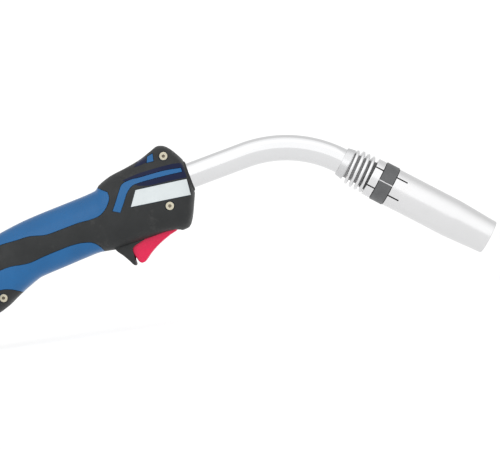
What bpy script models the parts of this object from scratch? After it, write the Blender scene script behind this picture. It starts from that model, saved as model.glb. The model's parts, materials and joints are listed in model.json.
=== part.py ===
"""MIG welding torch: a two-shot handle in two halves, a bent chromed neck and a sprung, slotted gas nozzle.

The torch is drawn in the handle's own frame, in millimetres: X runs forward along the neck's axis, Y across
and Z up, with X = 0 at the handle's rear end and Z = 0 on the cable inlet's axis. The whole is then turned
and moved so that it stands on its rear collar and its nozzle's lip, with the origin under its middle.
"""

import math

import bmesh
import bpy
from mathutils import Matrix, Vector

MM = 0.001

# ---- fits ------------------------------------------------------------------------------------------
GAP = 0.3  # between pieces that touch
RUN = 0.3  # round a pin or a slide

# ---- handle ----------------------------------------------------------------------------------------
GRIP_LENGTH = 125.0  # rear end to the back of the head
HEAD_WIDTH = 36.0  # the widest section, from which the other widths are drawn
NECK_RISE = 19.5  # neck axis above the cable inlet's axis
SKIN = 1.3  # soft black overmould
SHELL_WALL = 1.6
WALL = SKIN + GAP + SHELL_WALL
PLATE_SUNK = 0.2
PARTING = 0.3  # slit between the two halves
REAR_WALL = 4.0
INLET_BORE = 20.0  # hole in the rear wall
INLET_STEP = 0.8  # flange behind the wall, wider than the hole on each side
INLET_FLANGE = INLET_BORE + 2 * INLET_STEP
INLET_WALL = 2.7
INLET_PASSAGE = INLET_BORE - 2 * (GAP + INLET_WALL)  # what the cable passes through
INLET_DEPTH = 8.0

# ---- neck, from the wire outwards ----------------------------------------------------------------------
LINER_BORE = 2.4
LINER_WALL = 1.1
LINER_OD = LINER_BORE + 2 * LINER_WALL
LINER_GAP = 0.5  # inside the conductor
LINER_STUB = 2.0  # stands out of the neck block
LINER_SHORT = 1.0  # liner's end behind the contact tip
CONDUCTOR_BORE = LINER_OD + 2 * LINER_GAP
CONDUCTOR_WALL = 2.0
CONDUCTOR_OD = CONDUCTOR_BORE + 2 * CONDUCTOR_WALL
CONDUCTOR_GAP = 0.45  # inside the sleeve
SLEEVE_WALL = 1.2
NECK_WALL = 1.5
NECK_OD = CONDUCTOR_OD + 2 * (CONDUCTOR_GAP + SLEEVE_WALL + GAP + NECK_WALL)
NECK_REACH = 37.8  # head face to the start of the bend
NECK_IN_HANDLE = 47.0
BEND_RADIUS = 76.0
BEND_ANGLE = 48.0
BEND_STEPS = 10
SEAL_WALL = 1.45
SEAL_OD = NECK_OD + 2 * (GAP + SEAL_WALL)
SEAL_WIDTH = 3.2  # inside the head
SEAL_LIP = 1.0  # stands out of the head
SEAL_CHAMFER = 0.6

# ---- nozzle end, measured along the nozzle's axis from the end of the bend ---------------------------
COLLAR_LENGTH = 5.0
COLLAR_REAR_WALL = 0.75
COLLAR_WALL = 1.75
SPRING_WIRE = 2.2
SPRING_ROUND_NECK = 0.75  # clearance of its first coil
SPRING_FLARE = 1.1  # its last coil wider than its first, on each side
SPRING_WAIST = NECK_OD + 2 * (SPRING_ROUND_NECK + SPRING_WIRE)
SPRING_OD = SPRING_WAIST + 2 * SPRING_FLARE
SPRING_LENGTH = 15.0
SPRING_TURNS = 3.6
SPRING_PHASE = -108.0  # where its wire starts, below the torch's right side
NOZZLE_LIP = 0.2  # nozzle wider than the spring, on each side
NOZZLE_LENGTH = 84.6
NOZZLE_OD = SPRING_OD + 2 * NOZZLE_LIP
NOZZLE_WALL = 2.2
NOZZLE_BORE = NOZZLE_OD - 2 * NOZZLE_WALL
MOUTH_BORE = 17.0
MOUTH_WALL = 2.5
MOUTH_OD = MOUTH_BORE + 2 * MOUTH_WALL
SEAT_OD = NOZZLE_BORE - 2 * GAP
SHANK_GAP = 0.7  # inside the spring
SEAT_SHANK = SPRING_OD - 2 * (SPRING_WIRE + SHANK_GAP)
SEAT_GRIP = 22.5  # length of the seat inside the nozzle
NECK_SHORT = 4.0  # neck's end behind the nozzle
CONDUCTOR_PROUD = 8.0  # stands out of the neck
NOZZLE_TAPER = 26.0  # length of the tapered front
RIM_CHAMFER = 0.8
SLOT_COUNT = 6
SLOT_WIDTH = 1.0
SLOT_LENGTH = 22.5
SLOT_ANGLE = 30.0  # the first slot below the torch's right side
BAND_WIDTH = 8.8
BAND_OFFSET = 5.8  # nozzle's rear end to the band
BAND_PROUD = 0.4
BAND_OD = NOZZLE_OD + 2 * BAND_PROUD
BAND_THICKNESS = 0.9
BAND_SPLIT = 0.7
DIFFUSER_OD = 14.4
DIFFUSER_FRONT = 8.0  # stands out of the seat
GAS_HOLES = 6
GAS_HOLE = 2.0
HOLDER_OD = 12.0
HOLDER_LENGTH = 18.0
TIP_OD = 9.4
TIP_NOSE = 5.6
TIP_BORE = 1.4
TIP_SHANK = 6.0
TIP_THREAD = 7.0
TIP_RECESS = 7.0  # tip's end behind the nozzle's mouth

# ---- trigger and its switch --------------------------------------------------------------------------
TRIGGER_WIDTH = 13.0
TRIGGER_ANGLE = 6.0  # its travel, in degrees
PIVOT_OD = 3.0
PIN_COVER = 6.0  # pin's end to the handle's side
PIVOT_LENGTH = HEAD_WIDTH - 2 * PIN_COVER
PIVOT_BOSS = 6.4
SWITCH_SIZE = (19.8, 6.4, 9.6)
LEVER_PAST = 1.5  # lever's end past the trigger's nub
LEVER_THICKNESS = 0.5
LEVER_WIDTH = 4.0
PLUNGER_OD = 2.4
PLUNGER_LENGTH = 3.0  # in the case
PLUNGER_LEVER = 5.0  # lever's hinge to the plunger
LEVER_EYE = 2.8
LEVER_PIN = 1.2
SWITCH_PIN = 2.0
SWITCH_PIN_SPACING = 9.5
SWITCH_PIN_GRIP = 4.8  # length in each half shell
SWITCH_PIN_LENGTH = SWITCH_SIZE[1] + 2 * SWITCH_PIN_GRIP
SWITCH_PIN_RISE = 6.6
TERMINAL_SIZE = (9.0, 3.2, 0.8)  # length, width, thickness
TERMINAL_DEPTH = 2.5  # in the case
TERMINAL_HEIGHTS = (0.3, 0.7)  # shares of the case's height
RETURN_WIRE = 0.6
RETURN_OD = 4.6
RETURN_TURNS = 5.0

# ---- fasteners ---------------------------------------------------------------------------------------
SCREW_OD = 3.0
SCREW_HEAD = 5.6
SCREW_HEAD_HEIGHT = 2.2
SOCKET_FLATS = 2.0
NUT_FLATS = 5.5
NUT_HEIGHT = 2.4
BOSS_WALL = 0.7  # round the nut's corners
SUNK = 0.5  # heads and nuts below the handle's side

DRAWN_GRIP = 125.0
DRAWN_WIDTH = 36.0
PAST = 1.0  # how far a cutter runs past a face
SMOOTH_ANGLE = 32.0
RIM_COUNT = 24  # points round a handle section
ROOM_RIM_COUNT = 16  # and round the plainer room inside


def along(x):
    """A drawn X. The grip stretches with GRIP_LENGTH and the head keeps its length."""
    if x <= DRAWN_GRIP:
        return x * GRIP_LENGTH / DRAWN_GRIP
    return x + GRIP_LENGTH - DRAWN_GRIP


def drawn(points):
    return [(along(x), z) for x, z in points]


# Each section is cut from a point on the top outline to one on the bottom: top x, z, bottom x, z,
# half width, and the exponent of its superellipse.
SECTIONS = [
    (0.0, 14.5, 0.0, -14.5, 14.5, 2.0),
    (21.0, 18.4, 20.0, -17.4, 15.8, 2.3),
    (34.0, 21.4, 32.0, -19.8, 16.3, 2.4),
    (46.0, 24.2, 42.0, -19.8, 16.5, 2.4),
    (56.0, 26.4, 50.5, -17.8, 16.4, 2.4),
    (65.0, 28.1, 59.5, -13.9, 16.3, 2.4),
    (73.5, 29.2, 68.5, -10.3, 16.2, 2.4),
    (82.0, 29.9, 78.0, -7.5, 16.2, 2.4),
    (94.0, 30.4, 91.0, -6.9, 16.2, 2.4),
    (118.0, 30.9, 116.0, -6.0, 16.5, 2.6),
    (128.3, 31.6, 124.0, -7.2, 17.0, 2.8),
    (131.6, 33.9, 129.0, -8.2, 17.6, 3.0),
    (141.5, 37.1, 138.0, -8.6, 18.0, 3.2),
    (152.0, 38.4, 149.0, -8.7, 18.0, 3.3),
    (161.5, 40.1, 159.0, -8.8, 18.0, 3.3),
    (170.0, 42.8, 167.0, -9.6, 18.0, 3.3),
    (174.8, 44.3, 172.0, -11.3, 17.9, 3.2),
    (178.6, 43.2, 176.0, -11.0, 17.6, 3.1),
    (182.0, 39.9, 180.0, -6.4, 16.9, 3.0),
    (185.2, 34.6, 184.0, 1.6, 15.4, 2.8),
    (187.0, 31.0, 187.0, 8.0, 12.6, 2.5),
]
HEAD_FACE = along(SECTIONS[-1][0])

# Where the blue shell shows through the black overmould, in side view.
BEYOND = 60.0  # outside every outline
BLUE_TOP = [
    (11.0, BEYOND), (11.5, 16.8), (20.0, 16.3), (30.0, 17.0), (40.0, 18.2), (50.0, 19.4), (59.0, 20.2),
    (72.6, 19.4), (80.0, 18.9), (83.0, 18.2), (90.0, 16.2), (102.0, 15.9), (112.0, 15.9), (122.0, 15.1),
    (126.1, 15.4), (129.6, 16.9), (133.1, 19.7), (135.9, 23.8), (136.1, 27.4), (132.0, 31.1), (130.2, 33.4),
    (130.0, BEYOND),
]
BLUE_BELLY = [
    (120.9, -BEYOND), (120.7, -6.3), (120.1, -4.0), (116.5, 0.6), (110.5, 3.0), (104.0, 3.9), (93.9, 3.9),
    (83.6, 3.5), (76.0, 2.9), (72.0, 3.2), (62.0, 5.0), (53.5, 4.8), (42.0, 3.8), (32.0, 2.3), (25.5, 0.9),
    (24.0, -0.8), (25.5, -2.4), (30.0, -3.8), (40.0, -5.0), (49.5, -6.0), (55.8, -7.4), (61.0, -10.4),
    (64.5, -14.5), (66.0, -BEYOND),
]
BLUE_STRIPE = [
    (135.2, 15.1), (139.5, 20.4), (143.5, 25.6), (146.4, 28.7), (152.0, 29.6), (158.1, 28.9), (165.0, 28.4),
    (174.2, 27.5), (184.6, 25.5), (184.4, 23.1), (175.2, 24.3), (163.9, 25.5), (157.0, 26.0), (152.3, 25.8),
    (148.1, 23.2), (143.6, 17.8), (139.3, 12.6),
]
BLUE_WINDOW = [(165.7, 36.1), (167.1, 39.8), (171.0, 40.4), (170.0, 35.6)]
LABEL = [(153.2, 22.4), (185.5, 17.8), (184.5, 7.6), (146.8, 13.5)]

# Finger stop behind the trigger, with a cheek on each side of the trigger's end, and the trigger's outline.
STOP = [
    (126.5, -5.0), (128.6, -9.8), (131.0, -13.2), (133.6, -17.8), (135.4, -21.2), (136.2, -21.8),
    (136.7, -21.0), (136.8, -18.6), (137.3, -16.5), (137.7, -14.5), (137.9, -11.6), (140.2, -9.9),
    (142.4, -9.4), (147.0, -8.4), (147.0, -5.0),
]
STOP_WIDTH = 16.6
PIVOT = (164.5, -3.2)
NUB_ARM = 19.5  # pivot to where the trigger meets the switch's lever
NUB = PIVOT[0] - NUB_ARM
NUB_TOP = -3.0
TRIGGER = [
    (170.0, -7.6), (168.6, -9.6), (163.1, -11.2), (155.1, -14.1), (148.3, -17.6), (144.6, -20.2),
    (142.2, -21.6), (140.2, -21.8), (139.2, -20.6), (138.2, -17.6), (137.4, -15.0), (137.4, -6.0),
    (NUB - 1.6, -4.9), (NUB - 1.1, NUB_TOP), (NUB + 1.1, NUB_TOP), (NUB + 1.8, -4.5), (158.0, -3.6),
    (161.6, -0.6), (166.8, -0.6), (169.6, -4.0),
]
SLOT = (137.2, 170.8)  # opening for the trigger in the head's floor
SLOT_ROOF = -3.0
STOP_POCKET = (135.9, -18.5)  # rear and floor of the hollow in the stop that the trigger's end moves into
SLOT_CLEARANCE = 0.5  # each side of the trigger
SWITCH_FLOOR = 1.0
LEVER_REACH = 15.5  # lever's hinge to the nub
LEVER_HINGE = NUB - LEVER_REACH
LEVER_INSET = 1.9  # lever's hinge inside the switch's rear end
SWITCH_REAR = LEVER_HINGE - LEVER_INSET
LEVER_Z = 0.2
LEVER_FALL = (LEVER_Z - NUB_TOP - GAP - LEVER_THICKNESS / 2) / LEVER_REACH  # slope at rest
RETURN_ARM = 11.9  # pivot to the return spring
RETURN_X = PIVOT[0] - RETURN_ARM
RETURN_SEAT = 1.4  # underside of the rib that the return spring pushes on
RETURN_POCKET = -7.6
SADDLE = 162.0  # rib that carries the neck
SADDLE_HEIGHT = 15.0
RIB_WIDTH = 2.4
RIB_INSET = 3.0  # switch ribs inside the switch's ends

SCREWS = {"top": (176.8, 36.4), "front": (169.8, 5.6), "heel": (51.0, -11.7), "rear": (29.0, 10.4)}

# ---- neck block behind the neck, on the neck's axis ----------------------------------------------------
BLOCK_FLATS = NECK_OD - 2.5
BLOCK_LENGTH = 20.0
BLOCK_SADDLE = 6.0  # its front to the rib that carries it
SPIGOT_OD = 11.0
SPIGOT_LENGTH = 14.0
CONDUCTOR_IN_BLOCK = 8.0


# ---- materials ---------------------------------------------------------------------------------------


def material(name, colour, roughness, metallic=0.0):
    made = bpy.data.materials.new(name)
    made.use_nodes = True
    shader = made.node_tree.nodes["Principled BSDF"]
    shader.inputs["Base Color"].default_value = (*colour, 1.0)
    shader.inputs["Roughness"].default_value = roughness
    shader.inputs["Metallic"].default_value = metallic
    made.diffuse_color = (*colour, 1.0)
    return made


def make_materials():
    return {
        "blue": material("blue_plastic", (0.035, 0.13, 0.36), 0.35),
        "black": material("black_overmould", (0.035, 0.036, 0.037), 0.6),
        "red": material("red_trigger", (0.72, 0.02, 0.10), 0.35),
        "label": material("label_white", (0.78, 0.80, 0.82), 0.4),
        "chrome": material("bright_chrome", (0.90, 0.90, 0.91), 0.08, 1.0),
        "nozzle": material("nozzle_nickel", (0.86, 0.86, 0.87), 0.22, 1.0),
        "spring": material("spring_steel", (0.62, 0.62, 0.63), 0.25, 1.0),
        "band": material("dark_band", (0.10, 0.10, 0.105), 0.4, 0.6),
        "brass": material("brass", (0.72, 0.55, 0.28), 0.3, 1.0),
        "copper": material("copper", (0.80, 0.45, 0.32), 0.28, 1.0),
        "screw": material("plated_screw", (0.72, 0.66, 0.50), 0.35, 1.0),
        "insulator": material("insulator", (0.06, 0.06, 0.062), 0.5),
        "rubber": material("seal_rubber", (0.02, 0.02, 0.02), 0.7),
        "switch": material("switch_case", (0.05, 0.05, 0.055), 0.45),
    }


# ---- building blocks -----------------------------------------------------------------------------------


def finish(name, bm, look=None):
    """A named object from a bmesh drawn in millimetres, with its faces pointing out."""
    bmesh.ops.recalc_face_normals(bm, faces=bm.faces)
    for vert in bm.verts:
        vert.co *= MM
    mesh = bpy.data.meshes.new(name)
    bm.to_mesh(mesh)
    bm.free()
    made = bpy.data.objects.new(name, mesh)
    bpy.context.scene.collection.objects.link(made)
    if look is not None:
        mesh.materials.append(look)
    return made


def skin_rings(bm, rings, closed_ends=True):
    """Joins rings of points with quads, and caps the first and the last."""
    loops = [[bm.verts.new(point) for point in ring] for ring in rings]
    count = len(loops[0])
    for near, far in zip(loops, loops[1:]):
        for i in range(count):
            j = (i + 1) % count
            bm.faces.new((near[i], near[j], far[j], far[i]))
    if closed_ends:
        bm.faces.new(list(reversed(loops[0])))
        bm.faces.new(loops[-1])
    return loops


def signed_power(value, power):
    return math.copysign(abs(value) ** power, value)


def section_ring(section, inset, face, rim):
    """The rim points of one handle section, drawn in by inset, and kept behind the given face."""
    top_x, top_z, low_x, low_z, half_width, exponent = section
    top = Vector((min(along(top_x), face), 0.0, top_z))
    low = Vector((min(along(low_x), face), 0.0, low_z))
    middle = (top + low) / 2
    half = (top - low) / 2
    height = half.length - inset
    width = half_width * HEAD_WIDTH / DRAWN_WIDTH - inset
    upright = half.normalized()
    ring = []
    for k in range(rim):
        turn = 2 * math.pi * k / rim
        across = width * signed_power(math.cos(turn), 2 / exponent)
        up = height * signed_power(math.sin(turn), 2 / exponent)
        ring.append(middle + upright * up + Vector((0.0, across, 0.0)))
    return ring


def handle_body(name, inset, rear=0.0, step=1, rim=RIM_COUNT):
    """The handle's outer form, drawn in by inset, with its rear face at the given X.

    A step of 2 leaves out every other section."""
    sections = SECTIONS[::step]
    rings = [section_ring(section, inset, HEAD_FACE - inset, rim) for section in sections]
    first, second = rings[0], rings[1]
    share = rear / along(sections[1][0])
    rings[0] = [a.lerp(b, share) for a, b in zip(first, second)]
    bm = bmesh.new()
    skin_rings(bm, rings)
    bmesh.ops.triangulate(bm, faces=bm.faces, quad_method="SHORT_EDGE")
    return finish(name, bm)


def prism(name, outline, low, high, look=None):
    """An outline in X and Z, extruded across from Y low to Y high."""
    bm = bmesh.new()
    near = [bm.verts.new((x, low, z)) for x, z in outline]
    far = [bm.verts.new((x, high, z)) for x, z in outline]
    bm.faces.new(near)
    bm.faces.new(list(reversed(far)))
    for i in range(len(outline)):
        j = (i + 1) % len(outline)
        bm.faces.new((near[i], far[i], far[j], near[j]))
    return finish(name, bm, look)


def box(name, low, high, look=None):
    outline = [(low[0], low[2]), (high[0], low[2]), (high[0], high[2]), (low[0], high[2])]
    return prism(name, outline, low[1], high[1], look)


def turned(name, profile, axis, look=None, sides=24, flats=False):
    """A solid turned about an axis, given as a matrix whose Z is the axis, from (along, radius) pairs.

    A profile that starts and ends on the axis is solid, and any other is a closed ring with a bore."""
    solid = profile[0][1] == 0.0
    points = profile[1:-1] if solid else profile
    start = math.pi / sides if flats else 0.0
    bm = bmesh.new()
    loops = []
    for height, radius in points:
        ring = []
        for k in range(sides):
            turn = start + 2 * math.pi * k / sides
            ring.append(axis @ Vector((radius * math.cos(turn), radius * math.sin(turn), height)))
        loops.append([bm.verts.new(point) for point in ring])
    pairs = list(zip(loops, loops[1:]))
    if not solid:
        pairs.append((loops[-1], loops[0]))
    for near, far in pairs:
        for i in range(sides):
            j = (i + 1) % sides
            bm.faces.new((near[i], near[j], far[j], far[i]))
    if solid:
        bm.faces.new(list(reversed(loops[0])))
        bm.faces.new(loops[-1])
    return finish(name, bm, look)


def rod(name, start, end, radius, axis, look=None, sides=16, flats=False):
    return turned(name, [(start, 0.0), (start, radius), (end, radius), (end, 0.0)], axis, look, sides, flats)


def tube(name, start, end, outer, bore, axis, look=None, sides=16):
    return turned(name, [(start, outer), (end, outer), (end, bore), (start, bore)], axis, look, sides)


def frames_on(path):
    """For each point of a path in the XZ plane, the two directions square to it."""
    found = []
    for i, point in enumerate(path):
        before = path[max(i - 1, 0)]
        after = path[min(i + 1, len(path) - 1)]
        forward = (after - before).normalized()
        side = Vector((0.0, 1.0, 0.0))
        found.append((point, side, forward.cross(side)))
    return found


def bent_tube(name, path, outer, bore, look, sides):
    """A tube along a path, with a bore right through it."""
    bm = bmesh.new()
    walls = []
    for radius in (outer, bore):
        rings = []
        for point, side, up in frames_on(path):
            ring = []
            for k in range(sides):
                turn = 2 * math.pi * k / sides
                ring.append(point + side * radius * math.cos(turn) + up * radius * math.sin(turn))
            rings.append(ring)
        walls.append(skin_rings(bm, rings, closed_ends=False))
    for end in (0, -1):
        for i in range(sides):
            j = (i + 1) % sides
            bm.faces.new((walls[0][end][i], walls[0][end][j], walls[1][end][j], walls[1][end][i]))
    return finish(name, bm, look)


def coil(name, axis, start, length, outer, wire, turns, look, waist=None, phase=0.0, steps=10):
    """A spring as one unbroken wire whose ends run straight for one wire diameter. Prints its least gap.

    A waist is the outside diameter that it starts with, and widens from over the first turn. The phase is
    the angle in degrees that it starts at."""
    count = round(turns * steps)
    centre = []
    for k in range(count + 1):
        turn = math.radians(phase) + 2 * math.pi * k / steps
        widened = min(k / steps, 1.0)
        radius = ((waist or outer) * (1 - widened) + outer * widened - wire) / 2
        height = start + wire / 2 + (length - wire) * k / count
        centre.append(Vector((radius * math.cos(turn), radius * math.sin(turn), height)))
    first = centre[0] + (centre[0] - centre[1]).normalized() * wire
    last = centre[-1] + (centre[-1] - centre[-2]).normalized() * wire
    first.z, last.z = centre[0].z, centre[-1].z
    points = [first, *centre, last]
    least = min(
        (points[i] - points[j]).length
        for i in range(len(points))
        for j in range(i + steps - 3, len(points))
    )
    print(f"{name}: least gap to itself {least - wire:.2f} mm")
    curve = bpy.data.curves.new(name, "CURVE")
    curve.dimensions = "3D"
    curve.bevel_depth = wire / 2 * MM
    curve.bevel_resolution = 1
    curve.use_fill_caps = True
    spline = curve.splines.new("POLY")
    spline.points.add(len(points) - 1)
    for slot, point in zip(spline.points, points):
        slot.co = (*(axis @ point * MM), 1.0)
    curve.materials.append(look)
    made = bpy.data.objects.new(name, curve)
    bpy.context.scene.collection.objects.link(made)
    return made


def carve(body, tools, operation="DIFFERENCE"):
    """Joins, cuts or keeps what the tools share with body, and removes the tools."""
    for tool in tools:
        modifier = body.modifiers.new(operation.lower(), "BOOLEAN")
        modifier.operation = operation
        modifier.solver = "EXACT"
        modifier.object = tool
    bpy.context.view_layer.update()
    graph = bpy.context.evaluated_depsgraph_get()
    mesh = bpy.data.meshes.new_from_object(body.evaluated_get(graph))
    body.modifiers.clear()
    old = body.data
    body.data = mesh
    bpy.data.meshes.remove(old)
    for tool in tools:
        bpy.data.objects.remove(tool)
    return body


def copy_of(body, name):
    made = body.copy()
    made.data = body.data.copy()
    made.name = name
    bpy.context.scene.collection.objects.link(made)
    return made


def look_like(body, look):
    body.data.materials.clear()
    body.data.materials.append(look)
    return body


# ---- axes ------------------------------------------------------------------------------------------------


def axis_at(origin, direction):
    """A matrix whose Z runs along direction from origin. Its X is the torch's right side where it can be."""
    z = Vector(direction).normalized()
    right = Vector((0.0, -1.0, 0.0))
    x = right if abs(z.dot(right)) < 0.9 else Vector((1.0, 0.0, 0.0))
    y = z.cross(x).normalized()
    turn = Matrix((x, y, z)).transposed().to_4x4()
    return Matrix.Translation(Vector(origin)) @ turn


def across(x, z):
    """The axis along Y through a drawn point of the side view."""
    return axis_at((x, 0.0, z), (0.0, 1.0, 0.0))


NECK_AXIS = axis_at((0.0, 0.0, NECK_RISE), (1.0, 0.0, 0.0))
INLET_AXIS = axis_at((0.0, 0.0, 0.0), (1.0, 0.0, 0.0))
BEND_START = HEAD_FACE + NECK_REACH


def bend_point(angle):
    """A point of the neck's centre line in the bend, angle in radians from its start."""
    return Vector((
        BEND_START + BEND_RADIUS * math.sin(angle),
        0.0,
        NECK_RISE - BEND_RADIUS * (1 - math.cos(angle)),
    ))


BEND = math.radians(BEND_ANGLE)
BEND_END = bend_point(BEND)
NOZZLE_WAY = Vector((math.cos(BEND), 0.0, -math.sin(BEND)))
NOZZLE_AXIS = axis_at(BEND_END, NOZZLE_WAY)

# Places along the nozzle's axis, from the end of the bend.
SPRING_START = COLLAR_LENGTH + GAP
NOZZLE_REAR = SPRING_START + SPRING_LENGTH + GAP
NOZZLE_FRONT = NOZZLE_REAR + NOZZLE_LENGTH
SEAT_END = NOZZLE_REAR + SEAT_GRIP
NECK_END = NOZZLE_REAR - NECK_SHORT
DIFFUSER_END = SEAT_END + DIFFUSER_FRONT
HOLDER_END = DIFFUSER_END + GAP + HOLDER_LENGTH
TIP_END = NOZZLE_FRONT - TIP_RECESS
CONDUCTOR_END = NECK_END + CONDUCTOR_PROUD

PIVOT_AXIS = across(along(PIVOT[0]), PIVOT[1])
LEVER_AXIS = across(along(LEVER_HINGE), LEVER_Z)
RETURN_AXIS = axis_at((along(RETURN_X), 0.0, 0.0), (0.0, 0.0, 1.0))


def neck_path(rear, front):
    """The neck's centre line from rear, an X in the handle, to front, a distance past the bend."""
    points = [Vector((rear, 0.0, NECK_RISE))]
    points += [bend_point(BEND * k / BEND_STEPS) for k in range(BEND_STEPS + 1)]
    points.append(BEND_END + NOZZLE_WAY * front)
    return points


# ---- handle ----------------------------------------------------------------------------------------------


def blue_prisms(grow):
    """What shows of the shell, in side view, as prisms that are wider than the handle."""
    outlines = {"top": BLUE_TOP, "belly": BLUE_BELLY, "stripe": BLUE_STRIPE, "window": BLUE_WINDOW}
    return [
        prism(f"cut_{name}", grown(drawn(outline), grow), -BEYOND, BEYOND)
        for name, outline in outlines.items()
    ]


def grown(outline, by):
    """An outline moved outwards by a distance, corner by corner. A negative distance draws it in."""
    if not by:
        return outline
    area = sum(a[0] * b[1] - b[0] * a[1] for a, b in zip(outline, outline[1:] + outline[:1]))
    turn = 1.0 if area > 0 else -1.0
    made = []
    for i, (x, z) in enumerate(outline):
        before = Vector(outline[i - 1])
        here = Vector((x, z))
        after = Vector(outline[(i + 1) % len(outline)])
        first = (here - before).normalized()
        second = (after - here).normalized()
        normal = Vector((first.y + second.y, -first.x - second.x)) * turn
        normal.normalize()
        lean = max(normal.dot(Vector((first.y, -first.x)) * turn), 0.5)
        made.append(tuple(here + normal * by / lean))
    return made


def other_half(side):
    """Everything that one half leaves to the other. side is -1 for the right half and 1 for the left."""
    low, high = sorted((side * PARTING / 2, -side * BEYOND))
    return box("other_half", (-BEYOND, low, -2 * BEYOND), (4 * BEYOND, high, 2 * BEYOND))


def trigger_slot():
    """The opening for the trigger in the head's floor, and the hollow behind it in the finger stop."""
    half = TRIGGER_WIDTH / 2 + SLOT_CLEARANCE
    slot = box("slot", (along(SLOT[0]), -half, -BEYOND), (along(SLOT[1]), half, SLOT_ROOF))
    rear, floor = STOP_POCKET
    pocket = box("stop_pocket", (along(rear), -half, floor), (along(SLOT[0]) + PAST, half, SLOT_ROOF))
    return [slot, pocket]


def cavity():
    """The room inside the handle: its form drawn in by the wall, less the bosses and ribs."""
    room = handle_body("room", WALL, rear=REAR_WALL, step=2, rim=ROOM_RIM_COUNT)
    boss = hex_corner(NUT_FLATS + 2 * RUN) + BOSS_WALL
    solid = [
        rod("boss", -BEYOND, BEYOND, boss, across(along(x), z), sides=12)
        for x, z in SCREWS.values()
    ]
    rear = along(SWITCH_REAR)
    for side in (-1, 1):
        near, far = sorted((side * (TRIGGER_WIDTH / 2 + SLOT_CLEARANCE), side * BEYOND))
        solid.append(rod("pivot_boss", near, far, PIVOT_BOSS / 2, PIVOT_AXIS))
        near, far = sorted((side * (SWITCH_SIZE[1] / 2 + GAP), side * BEYOND))
        low = (rear + RIB_INSET, near, SWITCH_FLOOR + RIB_INSET / 2)
        high = (rear + SWITCH_SIZE[0] - RIB_INSET, far, SWITCH_FLOOR + SWITCH_SIZE[2] - RIB_INSET / 2)
        solid.append(box("switch_rib", low, high))
    half = RETURN_OD / 2 + RIB_WIDTH / 2
    low = (along(RETURN_X) - half, -BEYOND, RETURN_SEAT)
    solid.append(box("return_rib", low, (along(RETURN_X) + half, BEYOND, RETURN_SEAT + RIB_WIDTH)))
    for x in (block_front() - BLOCK_SADDLE, along(SADDLE)):
        low = (x - RIB_WIDTH / 2, -BEYOND, NECK_RISE - SADDLE_HEIGHT / 2)
        solid.append(box("saddle", low, (x + RIB_WIDTH / 2, BEYOND, NECK_RISE + SADDLE_HEIGHT / 2)))
    return carve(room, solid)


def block_front():
    return HEAD_FACE - NECK_IN_HANDLE - GAP


def shell_holes(side):
    """What is cut from one half shell and its overmould alike, apart from the screws' heads and nuts."""
    front = block_front()
    beyond = HEAD_FACE + PAST
    around = hex_corner(BLOCK_FLATS + 2 * GAP)
    made = [
        *trigger_slot(),
        rod("neck_way", front, beyond, NECK_OD / 2 + GAP, NECK_AXIS, sides=20),
        rod("seal_seat", HEAD_FACE - SEAL_WIDTH - GAP, beyond, SEAL_OD / 2 + GAP, NECK_AXIS, sides=20),
        rod("block_seat", front - BLOCK_LENGTH, front + GAP, around, NECK_AXIS, sides=6),
        rod("inlet", -PAST, REAR_WALL + PAST, INLET_BORE / 2, INLET_AXIS, sides=20),
    ]
    flange = INLET_FLANGE / 2 + GAP
    made.append(rod("flange_seat", REAR_WALL + GAP / 2, INLET_DEPTH + GAP, flange, INLET_AXIS, sides=20))
    for x, z in SCREWS.values():
        made.append(rod("shank", -BEYOND, BEYOND, SCREW_OD / 2 + RUN, across(along(x), z), sides=12))
    near, far = sorted((0.0, side * (SWITCH_PIN_LENGTH / 2 + GAP)))
    for axis in switch_pin_axes():
        made.append(rod("switch_pin_hole", near, far, SWITCH_PIN / 2 + GAP, axis, sides=12))
    near, far = sorted((0.0, side * (PIVOT_LENGTH / 2 + GAP)))
    made.append(rod("pivot_hole", near, far, PIVOT_OD / 2 + RUN, PIVOT_AXIS))
    return made


def surface_at(x, z):
    """Half the handle's width at a drawn point of the side view."""
    best = 0.0
    for near, far in zip(SECTIONS, SECTIONS[1:]):
        lean = (near[0] + (near[2] - near[0]) * (near[1] - z) / (near[1] - near[3]),
                far[0] + (far[2] - far[0]) * (far[1] - z) / (far[1] - far[3]))
        if not lean[0] <= x <= lean[1]:
            continue
        share = (x - lean[0]) / (lean[1] - lean[0])
        top, low, width, exponent = (near[i] + (far[i] - near[i]) * share for i in (1, 3, 4, 5))
        rise = min(abs(2 * z - top - low) / (top - low), 1.0)
        best = width * HEAD_WIDTH / DRAWN_WIDTH * (1 - rise**exponent) ** (1 / exponent)
    return best


def face_at(x, z):
    """Half the handle's width where it is least, within a screw's head."""
    reach = SCREW_HEAD / 2
    return min(surface_at(x + dx, z + dz) for dx, dz in ((reach, 0), (-reach, 0), (0, reach), (0, -reach)))


def fastener_pockets(side):
    """Round pockets for the screws' heads on the right, six-sided ones for the nuts on the left."""
    made = []
    for x, z in SCREWS.values():
        face = face_at(x, z)
        axis = across(along(x), z)
        if side < 0:
            radius = SCREW_HEAD / 2 + RUN
            made.append(rod("head_pocket", -BEYOND, screw_floor(face), radius, axis, sides=12))
        else:
            radius = hex_corner(NUT_FLATS + 2 * RUN)
            made.append(rod("nut_pocket", nut_floor(face), BEYOND, radius, axis, sides=6))
    return made


def screw_floor(face):
    """The Y of the floor under a screw's head, which lies a little below the handle's side."""
    return -face + SCREW_HEAD_HEIGHT + SUNK


def nut_floor(face):
    return face - NUT_HEIGHT - SUNK


def half_body(name, side, inset, rear=0.0):
    """One half of the handle's outer form, drawn in by inset."""
    return carve(handle_body(name, inset, rear), [other_half(side)])


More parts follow.
